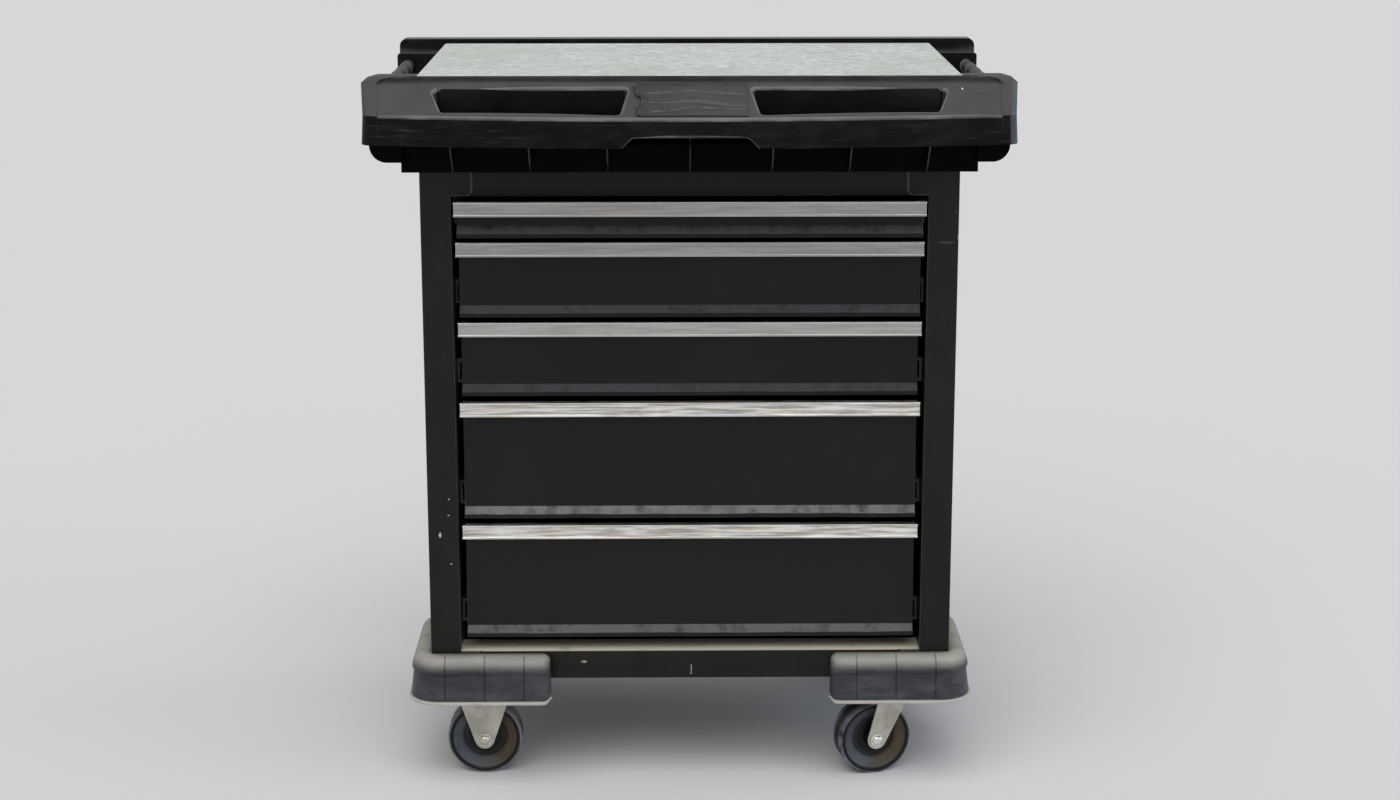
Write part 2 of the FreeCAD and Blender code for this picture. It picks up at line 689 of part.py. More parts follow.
def top_hollows():
    """Cutting shapes for the moulding's inside, which leave a seat for the body's top edges."""
    w = MOULD_WALL
    console = console_form(w, -w)
    under_deck = block(-HALF_WIDTH, HALF_WIDTH, FRONT, FRONT + CONSOLE_BACK, DECK_TOP - w,
                       BODY_TOP + TOP_RISE)
    base_half = HALF_WIDTH + BASE_OVERHANG - w
    base = block(-base_half, base_half, FRONT - BASE_OVERHANG + w, TRAY_BACK - w, BODY_TOP + w,
                 BODY_TOP + BASE_RISE - w)
    mouth_half = HALF_WIDTH - SEAT_WIDTH
    mouth = block(-mouth_half, mouth_half, FRONT + SEAT_WIDTH, BACK - SEAT_WIDTH, BODY_TOP - CUT,
                  BODY_TOP + w + CUT)
    tray_half = HALF_WIDTH + TRAY_OVERHANG - w
    tray = block(-tray_half, tray_half, FRONT + w, TRAY_BACK - w, BODY_TOP + w, DECK_TOP - w)
    band_half = REAR_HALF - w
    band = block(-band_half, band_half, REAR_FRONT + w, REAR_BACK - w, BODY_TOP + REAR_BOTTOM_RISE - CUT,
                 BODY_TOP + REAR_STEP_RISE - w)
    return [console.cut(under_deck), base, mouth, tray, band]


def handle_sockets():
    """Cutting shapes for the two handle bars."""
    front_end = FRONT + CONSOLE_BACK - HANDLE_SOCKET
    length = REAR_FRONT + HANDLE_SOCKET - front_end
    right = rod(HANDLE_RADIUS + GRIP_FIT, (HANDLE_X, front_end, BODY_TOP + HANDLE_RISE), (0, 1, 0), length)
    return [right, mirrored(right)]


def worktop_moulding():
    """The whole moulded top: console with pockets, base, tray under the plate, ears and rear band."""
    console = console_form(0.0, 0.0)
    base_half = HALF_WIDTH + BASE_OVERHANG
    tray_half = HALF_WIDTH + TRAY_OVERHANG
    base = block(-base_half, base_half, FRONT - BASE_OVERHANG, TRAY_BACK, BODY_TOP, BODY_TOP + BASE_RISE)
    tray = block(-tray_half, tray_half, FRONT, TRAY_BACK, BODY_TOP + BASE_RISE - MOULD_WALL, DECK_TOP)
    skin = fused([console, base, tray] + rear_band())
    bed_half = HALF_WIDTH + PLATE_FIT
    plate_bed = block(-bed_half, bed_half, FRONT - PLATE_FIT, REAR_FRONT, DECK_TOP, BODY_TOP + TOP_RISE + CUT)
    for cutter in [plate_bed, skirt_notch()] + top_hollows():
        skin = skin.cut(cutter)
    basin = pocket_form(POCKET_WALL).common(console)
    lug = ear()
    ribs = [rib(0.0)]
    for offset in RIB_OFFSETS:
        ribs += [rib(-offset), rib(offset)]
    whole = fused([skin, basin, mirrored(basin), lug, mirrored(lug)] + ribs)
    cavity = pocket_form(0.0)
    for cutter in [cavity, mirrored(cavity)] + handle_sockets():
        whole = whole.cut(cutter)
    return whole


def worktop_plate():
    """Sheet metal plate with its edges folded down, laid in the moulding."""
    outline = [(-HALF_WIDTH, FRONT), (HALF_WIDTH, FRONT), (HALF_WIDTH, FRONT + PLATE_DEPTH),
               (-HALF_WIDTH, FRONT + PLATE_DEPTH)]
    slab = plate(outline, PLATE_CORNER, on_xy(DECK_TOP), (0, 0, PLATE_THICKNESS))
    t = PLATE_SHEET
    hollow = block(-HALF_WIDTH + t, HALF_WIDTH - t, FRONT + t, FRONT + PLATE_DEPTH - t, DECK_TOP - CUT,
                   DECK_TOP + PLATE_THICKNESS - t)
    return slab.cut(hollow)


def tape_patch():
    """Strip of tape stuck on the apron between the pockets."""
    front = FRONT - CONSOLE_REACH + PATCH_FRONT_SETBACK
    back = FRONT - RIM_SETBACK - PATCH_BACK_SETBACK
    zone = block(-PATCH_HALF, PATCH_HALF, front, back, BODY_TOP + SKIRT_RISE, BODY_TOP + TOP_RISE)
    console = console_form(0.0, 0.0).common(zone)
    return moved(console, z=PATCH_THICKNESS).cut(console)


def handle_bar():
    """Right-hand handle bar, held in the console and in the rear band."""
    start = FRONT + CONSOLE_BACK - HANDLE_SOCKET
    length = REAR_FRONT + HANDLE_SOCKET - start
    return rod(HANDLE_RADIUS, (HANDLE_X, start, BODY_TOP + HANDLE_RISE), (0, 1, 0), length)


def handle_grip():
    """Sleeve on the right-hand handle bar."""
    start = FRONT + CONSOLE_BACK + GRIP_END_GAP
    length = REAR_FRONT - GRIP_END_GAP - start
    centre = (HANDLE_X, start, BODY_TOP + HANDLE_RISE)
    sleeve = rod(GRIP_RADIUS, centre, (0, 1, 0), length)
    return sleeve.cut(rod(HANDLE_RADIUS + GRIP_FIT, centre, (0, 1, 0), length))


def bumper_section():
    """Outside of a bumper from the body to its bottom lip, as (distance out from the body, height)."""
    crown = BUMPER_BOTTOM + BUMPER_HEIGHT
    lip_top = BUMPER_BOTTOM + BUMPER_LIP_HEIGHT
    foot = BUMPER_REACH + BUMPER_DRAFT
    return [(0.0, crown), (BUMPER_REACH - BUMPER_SHOULDER + BUMPER_CROWN, crown),
            (BUMPER_REACH, crown - BUMPER_SHOULDER), (foot, lip_top), (BUMPER_FOOT, lip_top),
            (BUMPER_FOOT, BUMPER_BOTTOM)]


def bumper_profile():
    """Closed section of the hollow bumper: crowned wall with a lip below, and a flange on the body."""
    inner = BUMPER_REACH - BUMPER_WALL
    ceiling = BUMPER_BOTTOM + BUMPER_HEIGHT - BUMPER_WALL
    flange_bottom = BODY_BOTTOM + SHEET
    return bumper_section() + [(inner, BUMPER_BOTTOM), (inner, ceiling + BUMPER_WALL - BUMPER_SHOULDER),
                               (BUMPER_REACH - BUMPER_SHOULDER, ceiling), (BUMPER_FLANGE, ceiling),
                               (BUMPER_FLANGE, flange_bottom), (0.0, flange_bottom)]


def flat_sided(near, far):
    """A solid between two equal outlines whose sides are all flat."""
    count = len(near)
    sides = [near, far]
    for i in range(count):
        following = (i + 1) % count
        sides.append([near[i], near[following], far[following], far[i]])
    faces = [Part.Face(Part.makePolygon(corners + corners[:1])) for corners in sides]
    return Part.Solid(Part.Shell(faces))


def bumper_band(points):
    """A section carried along the front, round the corner in flats, and along the side, front right."""
    turn = FreeCAD.Vector(HALF_WIDTH - BUMPER_TURN, FRONT + BUMPER_TURN, 0)
    up = FreeCAD.Vector(0, 0, 1)
    sections = []
    for step in range(BUMPER_FLATS + 1):
        angle = math.radians(90 * step / BUMPER_FLATS)
        outward = FreeCAD.Vector(math.sin(angle), -math.cos(angle), 0)
        sections.append([turn + outward * (BUMPER_TURN + out) + up * z for out, z in points])
    straight = BUMPER_STRAIGHT - BUMPER_TURN
    front_end = [corner + FreeCAD.Vector(-straight, 0, 0) for corner in sections[0]]
    side_end = [corner + FreeCAD.Vector(0, straight, 0) for corner in sections[-1]]
    rows = [front_end] + sections + [side_end]
    return [flat_sided(near, far) for near, far in zip(rows, rows[1:])]


def bumper_ends():
    """The wings' closed ends and the shapes that clip their outer corners, front right."""
    top = BUMPER_BOTTOM + BUMPER_HEIGHT
    end_x = HALF_WIDTH - BUMPER_STRAIGHT
    end_y = FRONT + BUMPER_STRAIGHT
    far_x = HALF_WIDTH + BUMPER_FOOT
    far_y = FRONT - BUMPER_FOOT
    closers = [block(end_x, end_x + BUMPER_WALL, far_y, FRONT, BUMPER_BOTTOM, top),
               block(HALF_WIDTH, far_x, end_y - BUMPER_WALL, end_y, BUMPER_BOTTOM, top)]
    cut = BUMPER_END_CUT
    clips = [[(end_x, far_y), (end_x + cut, far_y), (end_x, far_y + cut)],
             [(far_x, end_y), (far_x - cut, end_y), (far_x, end_y - cut)]]
    return closers, [plate(clip, 0, on_xy(BUMPER_BOTTOM), (0, 0, BUMPER_HEIGHT)) for clip in clips]


def bumper_grooves(filled):
    """Cutting shapes for the shallow grooves across the front wing's outside."""
    core = moved(filled, y=GROOVE_DEPTH, z=-GROOVE_DEPTH)
    low = BUMPER_BOTTOM + BUMPER_LIP_HEIGHT
    grooves = []
    for i in range(BUMPER_GROOVES):
        x = HALF_WIDTH + BUMPER_FOOT - BUMPER_GROOVE_START - i * BUMPER_GROOVE_PITCH
        slab = block(x - GROOVE_WIDTH / 2, x + GROOVE_WIDTH / 2, FRONT - BUMPER_FOOT, FRONT, low,
                     BUMPER_BOTTOM + BUMPER_HEIGHT)
        grooves.append(slab.cut(core))
    return grooves


def bumper():
    """Front right bumper: a hollow shell round the body's corner, with closed ends."""
    filled = bumper_band(bumper_section() + [(0.0, BUMPER_BOTTOM)])
    closers, clips = bumper_ends()
    ends = [closers[0].common(filled[0]), closers[1].common(filled[-1])]
    whole = fused(bumper_band(bumper_profile()) + ends)
    body = block(-HALF_WIDTH, HALF_WIDTH, FRONT, BACK, BUMPER_BOTTOM, BODY_TOP)
    for cutter in [body] + clips + bumper_grooves(filled[0]):
        whole = whole.cut(cutter)
    return whole


def bumpers():
    """All four bumpers, mirrored from the front right one."""
    front_right = bumper()
    middle = FreeCAD.Vector(0, (FRONT + BACK) / 2, 0)
    rear_right = front_right.mirror(middle, FreeCAD.Vector(0, 1, 0))
    return {
        "front_right_bumper": front_right,
        "front_left_bumper": mirrored(front_right),
        "rear_right_bumper": rear_right,
        "rear_left_bumper": mirrored(rear_right),
    }


def wheel(x, y):
    """Solid wheel on its axle's height."""
    start = y - WHEEL_WIDTH / 2
    tread = rod(WHEEL_RADIUS, (x, start, WHEEL_RADIUS), (0, 1, 0), WHEEL_WIDTH)
    return tread.cut(rod(AXLE_RADIUS + AXLE_FIT, (x, start, WHEEL_RADIUS), (0, 1, 0), WHEEL_WIDTH))


def fork_leg(x, y, top_left, top_right, top):
    """Tapering fork leg: a straight top edge and a round eye, joined by tangent sides."""
    radius = FORK_EYE_RADIUS

    def tangent(point, side):
        reach = math.hypot(point[0], point[1])
        away = math.acos(radius / reach)
        heading = math.atan2(point[1], point[0]) + side * away
        return (radius * math.cos(heading), radius * math.sin(heading))

    rise = top - WHEEL_RADIUS
    right = tangent((top_right, rise), -1)
    left = tangent((top_left, rise), 1)
    place = on_xz(y)
    corners = [(top_left, rise), (top_right, rise), right, (0.0, -radius), left]
    at = [place(x + u, WHEEL_RADIUS + v) for u, v in corners]
    edges = [
        Part.LineSegment(at[0], at[1]).toShape(),
        Part.LineSegment(at[1], at[2]).toShape(),
        Part.Arc(at[2], at[3], at[4]).toShape(),
        Part.LineSegment(at[4], at[0]).toShape(),
    ]
    leg = Part.Face(Part.Wire(edges)).extrude(FreeCAD.Vector(0, FORK_SHEET, 0))
    bore = rod(AXLE_RADIUS, (x, y - CUT, WHEEL_RADIUS), (0, 1, 0), FORK_SHEET + 2 * CUT)
    return leg.cut(bore)


def leg_planes(y):
    """Front faces of the two legs of the fork on a wheel at y."""
    half = WHEEL_WIDTH / 2 + FORK_WHEEL_GAP
    return y - half - FORK_SHEET, y + half


def caster_plate(x, y):
    """Drilled mounting plate under the floor pan."""
    low = BODY_BOTTOM - CASTER_PLATE_THICKNESS
    u = CASTER_PLATE_X / 2
    v = CASTER_PLATE_Y / 2
    sheet = clipped_plate(x - u, x + u, y - v, y + v, CASTER_PLATE_CORNER, low, CASTER_PLATE_THICKNESS)
    for side in (-1, 1):
        for end in (-1, 1):
            sheet = sheet.cut(bolt_hole(x + side * CASTER_BOLT_X / 2, y + end * CASTER_BOLT_Y / 2, low,
                                        CASTER_PLATE_THICKNESS))
    return sheet


def rigid_fork(x, y):
    """Rigid caster frame: mounting plate and two legs, pressed from one sheet."""
    top = BODY_BOTTOM - CASTER_PLATE_THICKNESS / 2
    legs = [fork_leg(x, plane, -FORK_TOP_HALF, FORK_TOP_HALF, top) for plane in leg_planes(y)]
    return fused([caster_plate(x, y)] + legs)


def axle_bolt(x, y):
    """Axle bolt through both legs, with a hexagon head in front and a nut behind."""
    front, rear = leg_planes(y)
    grip = rear + FORK_SHEET - front
    shank = rod(AXLE_RADIUS, (x, front, WHEEL_RADIUS), (0, 1, 0), grip)
    ends = [many_sided_bar(6, AXLE_HEAD_RADIUS, (x, y0, WHEEL_RADIUS), (0, 1, 0), AXLE_HEAD_HEIGHT)
            for y0 in (front - AXLE_HEAD_HEIGHT, front + grip)]
    return fused([shank] + ends)


def swivel_fork(x, y):
    """Yoke of a swivel caster, its legs swept back to the axle."""
    ceiling = BODY_BOTTOM - CASTER_PLATE_THICKNESS - RACE_GAP - RACE_HEIGHT
    axle_x = x - SWIVEL_TRAIL
    half_y = WHEEL_WIDTH / 2 + FORK_WHEEL_GAP + FORK_SHEET
    left = SWIVEL_TRAIL - SWIVEL_LEG_TOP_HALF
    right = SWIVEL_TRAIL + SWIVEL_LEG_TOP_HALF
    legs = [fork_leg(axle_x, plane, left, right, ceiling) for plane in leg_planes(y)]
    crown = block(x - SWIVEL_LEG_TOP_HALF, x + SWIVEL_LEG_TOP_HALF, y - half_y, y + half_y,
                  ceiling - FORK_SHEET, ceiling)
    yoke = fused([crown] + legs)
    bore = rod(KINGPIN_RADIUS + KINGPIN_FIT, (x, y, ceiling - FORK_SHEET), (0, 0, 1), FORK_SHEET)
    return yoke.cut(bore)


def swivel_plate(x, y):
    """Mounting plate of a swivel caster, with its pressed-out race and the kingpin riveted in it."""
    race_bottom = BODY_BOTTOM - CASTER_PLATE_THICKNESS - RACE_HEIGHT
    pin_bottom = race_bottom - FORK_SHEET - 2 * RACE_GAP
    race = many_sided_bar(RACE_SIDES, RACE_RADIUS, (x, y, race_bottom), (0, 0, 1), RACE_HEIGHT)
    pin = rod(KINGPIN_RADIUS, (x, y, pin_bottom), (0, 0, 1), race_bottom - pin_bottom)
    head_bottom = (x, y, pin_bottom - KINGPIN_HEAD_HEIGHT)
    head = many_sided_bar(RACE_SIDES, KINGPIN_HEAD_RADIUS, head_bottom, (0, 0, 1), KINGPIN_HEAD_HEIGHT)
    return fused([caster_plate(x, y), race, pin, head])


def caster_bolts():
    """Sixteen square-necked bolts that hold the caster plates to the floor pan."""
    bolts = []
    bottom = BODY_BOTTOM - CASTER_PLATE_THICKNESS
    grip = CASTER_PLATE_THICKNESS + PAN_SHEET
    for x, y in bolt_places():
        head_bottom = (x, y, bottom - BOLT_HEAD_HEIGHT)
        head = many_sided_bar(6, BOLT_HEAD_RADIUS, head_bottom, (0, 0, 1), BOLT_HEAD_HEIGHT)
        bolts.append(fused([head, square_bar(x, y, CASTER_BOLT_NECK / 2, bottom, grip)]))
    return bolts


def write_body():
    """Folded steel body."""
    left = side_panel()
    save("left_side_panel", left)
    save("right_side_panel", mirrored(left))
    save("top_rail", top_rail())
    save("bottom_rail", bottom_rail())
    save("floor_pan", floor_pan())
    save("back_panel", back_panel())
    save("top_panel", top_panel())
    save("rear_uprights", rear_uprights())


def write_drawers():
    """Five drawers and their slides. The top drawer's fixed members have sub-parts of their own."""
    fixed_members = []
    for index, (bottom, top) in enumerate(drawer_levels()):
        opened = DRAWER_OPEN_AT_REST[index]
        name = "drawer_" + str(index + 1)
        fixed, middle, inner = slide_members(bottom, opened)
        fixed_members.append((fixed, mirrored(fixed)))
        save(name + "_middle_slides", [middle, mirrored(middle)])
        save(name + "_runners", [inner, mirrored(inner)])
        save(name + "_box", drawer_box(bottom, top, opened))
        save(name + "_front", drawer_front(bottom, top, opened))
        save(name + "_pull", pull_strip(top, opened))
    left, right = fixed_members[0]
    save("drawer_1_left_fixed_slide", left)
    save("drawer_1_right_fixed_slide", right)
    save("fixed_slides", [member for pair in fixed_members[1:] for member in pair])


def write_top():
    """Worktop moulding, plate, tape and side handles."""
    save("worktop_moulding", worktop_moulding())
    save("worktop_plate", worktop_plate())
    save("tape_patch", tape_patch())
    bar = handle_bar()
    grip = handle_grip()
    save("right_handle_bar", bar)
    save("left_handle_bar", mirrored(bar))
    save("right_handle_grip", grip)
    save("left_handle_grip", mirrored(grip))


def write_casters():
    """Two rigid casters on the left and two swivel casters on the right."""
    yaws = dict(zip(("front_right", "rear_right"), SWIVEL_YAWS))
    rigid_bolts = []
    plates = []
    for name, x, y in caster_centres():
        if name not in yaws:
            save(name + "_fork", rigid_fork(x, y))
            save(name + "_wheel", wheel(x, y))
            rigid_bolts.append(axle_bolt(x, y))
            continue
        yaw = yaws[name]
        plates.append(swivel_plate(x, y))
        save(name + "_fork", turned(swivel_fork(x, y), x, y, yaw))
        save(name + "_wheel", turned(wheel(x - SWIVEL_TRAIL, y), x, y, yaw))
        save(name + "_axle_bolt", turned(axle_bolt(x - SWIVEL_TRAIL, y), x, y, yaw))
    save("left_axle_bolts", rigid_bolts)
    save("swivel_plates", plates)
    save("caster_bolts", caster_bolts())


def main():
    """Builds every sub-part."""
    write_body()
    write_drawers()
    write_top()
    for name, shape in bumpers().items():
        save(name, shape)
    write_casters()


main()
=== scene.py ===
"""Looks of a rolling tool cabinet: enamelled body, pulls, moulded worktop, grips, bumpers and casters."""

import json
import logging
import math
from dataclasses import dataclass, field
from enum import Enum
from typing import Any, Callable, Mapping, Protocol, Sequence, Union

import bmesh
import bpy
from mathutils import Matrix, Vector, noise
from mathutils.bvhtree import BVHTree

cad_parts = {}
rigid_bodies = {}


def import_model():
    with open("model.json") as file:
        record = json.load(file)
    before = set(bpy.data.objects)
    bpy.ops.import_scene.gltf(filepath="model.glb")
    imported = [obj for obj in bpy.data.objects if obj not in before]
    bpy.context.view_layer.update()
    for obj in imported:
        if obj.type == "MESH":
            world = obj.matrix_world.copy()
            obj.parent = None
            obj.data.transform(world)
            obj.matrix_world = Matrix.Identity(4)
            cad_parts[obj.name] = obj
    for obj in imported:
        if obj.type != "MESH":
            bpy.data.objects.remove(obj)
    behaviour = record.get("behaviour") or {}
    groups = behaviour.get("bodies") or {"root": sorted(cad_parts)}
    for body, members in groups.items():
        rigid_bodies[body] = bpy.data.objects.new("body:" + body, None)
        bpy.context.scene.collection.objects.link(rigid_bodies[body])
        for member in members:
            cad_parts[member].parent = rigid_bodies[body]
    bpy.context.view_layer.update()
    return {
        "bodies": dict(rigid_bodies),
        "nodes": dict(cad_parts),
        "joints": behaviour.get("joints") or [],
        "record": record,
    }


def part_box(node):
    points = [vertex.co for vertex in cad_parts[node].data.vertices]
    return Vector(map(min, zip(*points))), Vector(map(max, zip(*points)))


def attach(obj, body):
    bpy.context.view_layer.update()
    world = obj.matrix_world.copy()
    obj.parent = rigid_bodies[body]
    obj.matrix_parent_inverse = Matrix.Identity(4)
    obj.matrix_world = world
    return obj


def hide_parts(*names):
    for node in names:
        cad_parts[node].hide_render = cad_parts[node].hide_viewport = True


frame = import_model()
LOG = logging.getLogger("cabinet")

Colour = tuple[float, float, float]
Point = tuple[float, float, float]
Pair = tuple[float, float]
Profile = Sequence[Pair]
Face = bmesh.types.BMFace
Work = bmesh.types.BMesh
Zone = Callable[[Face], bool]
Region = Callable[[bmesh.types.BMEdge], bool]
Socket = Union[str, int]
Values = Mapping[Socket, Any] | None
EVEN: Point = (1.0, 1.0, 1.0)


class Axis(Enum):
    """One coordinate of a point or a direction."""

    X = "X"
    Y = "Y"
    Z = "Z"


class Edge(Enum):
    """How far the folds and the rims of a piece are rounded over, in metres."""

    CRISP = (0.0006, 0.0003)
    BEAD = (0.0007, 0.0005)
    SHEET = (0.0016, 0.0004)
    PRESSED = (0.0020, 0.0006)
    MOULDED = (0.0034, 0.0009)

    def __init__(self, fold: float, rim: float) -> None:
        """Keeps the widths at the folds and at the rims."""
        self.fold = fold
        self.rim = rim


def joined(operation: str, swapped: bool = False) -> Callable[["Tap", "Operand"], "Tap"]:
    """Makes a method of Tap that joins it and another value with a Math node.

    Args:
        operation: The node's operation.
        swapped: Whether the other value comes first, as a reflected operator has it.

    Returns:
        The method.
    """

    def method(tap: "Tap", other: "Operand") -> "Tap":
        """The Math node's result."""
        first, second = (other, tap) if swapped else (tap, other)
        return tap.shader.maths(operation, first, second)

    return method


class Tap:
    """An output socket that can be used in arithmetic."""

    __add__ = joined("ADD")
    __radd__ = joined("ADD", swapped=True)
    __sub__ = joined("SUBTRACT")
    __rsub__ = joined("SUBTRACT", swapped=True)
    __mul__ = joined("MULTIPLY")
    __rmul__ = joined("MULTIPLY", swapped=True)
    __truediv__ = joined("DIVIDE")
    __pow__ = joined("POWER")
    larger = joined("MAXIMUM")

    def __init__(self, shader: "Shader", socket: bpy.types.NodeSocket) -> None:
        """Keeps the socket and the shader that it belongs to."""
        self.shader = shader
        self.socket = socket


Operand = Union[Tap, float]
Paint = Union[Tap, Colour]


@dataclass(frozen=True)
class Mark:
    """A small worn spot on a surface, as an ellipse seen from the front.

    Args:
        x: Centre across the cabinet, in metres.
        z: Height of the centre, in metres.
        half_width: Half its width.
        half_height: Half its height.
    """

    x: float
    z: float
    half_width: float
    half_height: float


@dataclass(frozen=True)
class Seam:
    """The outline of a corner tab, the same on both sides of the cabinet.

    Args:
        x: Distance of the tab's end from the middle plane, in metres.
        far_x: Distance at which the tab joins the stile.
        z: Height of the tab's free edge.
        radius: Radius of its corner.
        rise: 1 if the free edge is its upper one, -1 if its lower one.
    """

    x: float
    far_x: float
    z: float
    radius: float
    rise: float


class Shader:
    """One material's nodes, with the place and the facing of each point on the surface."""

    seed_shift: Point = (1.0, 0.7, 1.3)
    grain_roughness: float = 0.6

    def __init__(self, name: str) -> None:
        """Starts a material of that name with one Principled surface."""
        self.material = bpy.data.materials.new(name)
        self.material.use_nodes = True
        self.tree = self.material.node_tree
        self.tree.nodes.clear()
        output = self.node("ShaderNodeOutputMaterial")
        self.surface = self.node("ShaderNodeBsdfPrincipled")
        self.tree.links.new(self.surface.outputs["BSDF"], output.inputs["Surface"])
        coordinates = self.node("ShaderNodeTexCoord")
        self.place = Tap(self, coordinates.outputs["Object"])
        self.facing = Tap(self, coordinates.outputs["Normal"])

    def node(self, kind: str, settings: Values = None, inputs: Values = None) -> bpy.types.Node:
        """Adds a node.

        Args:
            kind: Blender's name of the node type.
            settings: Its settings, by name.
            inputs: Values or taps of its sockets, by name or by number.

        Returns:
            The new node.
        """
        made = self.tree.nodes.new(kind)
        for key, value in (settings or {}).items():
            setattr(made, key, value)
        self.feed(made, inputs or {})
        return made

    def feed(self, node: bpy.types.Node, inputs: Mapping[Socket, Any]) -> None:
        """Links taps to sockets of a node, and sets its other sockets to values."""
        for key, value in inputs.items():
            if isinstance(value, Tap):
                self.tree.links.new(value.socket, node.inputs[key])
            else:
                node.inputs[key].default_value = value

    def tap(self, kind: str, output: Socket, settings: Values = None, inputs: Values = None) -> Tap:
        """Adds a node as above and gives the output wanted."""
        return Tap(self, self.node(kind, settings, inputs).outputs[output])

    def maths(self, operation: str, first: Operand, second: Operand) -> Tap:
        """A Math node on two values."""
        return self.tap("ShaderNodeMath", 0, {"operation": operation}, {0: first, 1: second})

    def vector(self, operation: str, first: Any, second: Any, output: Socket = 0) -> Tap:
        """A Vector Math node on two vectors."""
        return self.tap("ShaderNodeVectorMath", output, {"operation": operation}, {0: first, 1: second})

    def part(self, vector: Tap, axis: Axis) -> Tap:
        """One coordinate of a vector."""
        return self.tap("ShaderNodeSeparateXYZ", axis.value, None, {0: vector})

    def step(self, value: Tap, start: float, end: float) -> Tap:
        """A mask that goes smoothly from 0, where the value is the start, to 1, where it is the end."""
        limits = {"Value": value, "From Min": start, "From Max": end}
        return self.tap("ShaderNodeMapRange", 0, {"interpolation_type": "SMOOTHSTEP"}, limits)

    def grain(self, scale: float, detail: float = 4.0, stretch: Point = EVEN, seed: float = 0.0) -> Tap:
        """Noise over the surface.

        Args:
            scale: Cells per metre.
            detail: Octaves of finer noise.
            stretch: Further scale along each axis; a small one draws the grain out.
            seed: Shift of the pattern, in metres.

        Returns:
            The noise, about 0.5.
        """
        moved = self.vector("ADD", self.place, tuple(seed * share for share in self.seed_shift))
        drawn = self.vector("MULTIPLY", moved, stretch)
        inputs = {"Vector": drawn, "Scale": scale, "Detail": detail, "Roughness": self.grain_roughness}
        return self.tap("ShaderNodeTexNoise", 0, None, inputs)

    def blend(self, share: Operand, low: Paint, high: Paint) -> Tap:
        """A mix of two colours, with the second at that share."""
        first = low if isinstance(low, Tap) else (*low, 1.0)
        second = high if isinstance(high, Tap) else (*high, 1.0)
        return self.tap("ShaderNodeMix", 2, {"data_type": "RGBA"}, {0: share, 6: first, 7: second})

    def upward(self, start: float = 0.35, end: float = 0.9) -> Tap:
        """A mask of the faces that look up, between two upward parts of the normal."""
        return self.step(self.part(self.facing, Axis.Z), start, end)

    def spots(self, marks: Sequence[Mark], ragged: Tap) -> Operand:
        """A mask of worn spots with ragged outlines.

        Args:
            marks: The spots.
            ragged: Noise that frays their outlines.

        Returns:
            The mask, or 0 where there are no marks.
        """
        mask: Operand = 0.0
        for mark in marks:
            offset = self.vector("SUBTRACT", self.place, (mark.x, 0.0, mark.z))
            scaled = self.vector("MULTIPLY", offset, (1 / mark.half_width, 0.0, 1 / mark.half_height))
            reach = self.vector("LENGTH", scaled, (0.0, 0.0, 0.0), "Value")
            spot = 1.0 - self.step(reach + ragged * 1.4 - 0.7, 0.75, 1.0)
            mask = spot if isinstance(mask, float) else mask.larger(spot)
        return mask

    def seam(self, tab: Seam, half_width: float = 0.0008) -> Tap:
        """A mask of the line along a corner tab's edge.

        Args:
            tab: The tab.
            half_width: Half the width of the line.

        Returns:
            The mask.
        """
        across = self.maths("ABSOLUTE", self.part(self.place, Axis.X), 0.0)
        inward = (tab.x + tab.radius - across).larger(0.0)
        upward = ((self.part(self.place, Axis.Z) - (tab.z - tab.rise * tab.radius)) * tab.rise).larger(0.0)
        away = (inward**2.0 + upward**2.0) ** 0.5 - tab.radius
        line = 1.0 - self.step(self.maths("ABSOLUTE", away, 0.0), half_width * 0.5, half_width * 1.8)
        return line * (1.0 - self.step(across, tab.far_x - 0.001, tab.far_x))

    def bump(self, height: Tap, distance: float, under: Tap | None = None) -> Tap:
        """A normal raised by a height, where 1 stands for that distance, over a coarser normal."""
        inputs: dict[Socket, Any] = {"Height": height, "Distance": distance, "Strength": 1.0}
        if under is not None:
            inputs["Normal"] = under
        return self.tap("ShaderNodeBump", 0, None, inputs)

    def dress(
        self,
        colour: Tap,
        roughness: Operand,
        normal: Tap | None = None,
        metallic: Operand = 0.0,
        specular: float = 0.5,
    ) -> bpy.types.Material:
        """Sets the Principled surface.

        Args:
            colour: Its base colour.
            roughness: Its roughness.
            normal: Its raised normal, if any.
            metallic: How metallic it is.
            specular: Level of its reflections.

        Returns:
            The finished material.
        """
        self.feed(self.surface, {"Base Color": colour, "Roughness": roughness})
        self.feed(self.surface, {"Metallic": metallic, "Specular IOR Level": specular})
        if normal is not None:
            self.feed(self.surface, {"Normal": normal})
        return self.material


class Finish(Protocol):
    """Anything that can make a material."""

    name: str

    def material(self) -> bpy.types.Material:
        """Builds the material."""


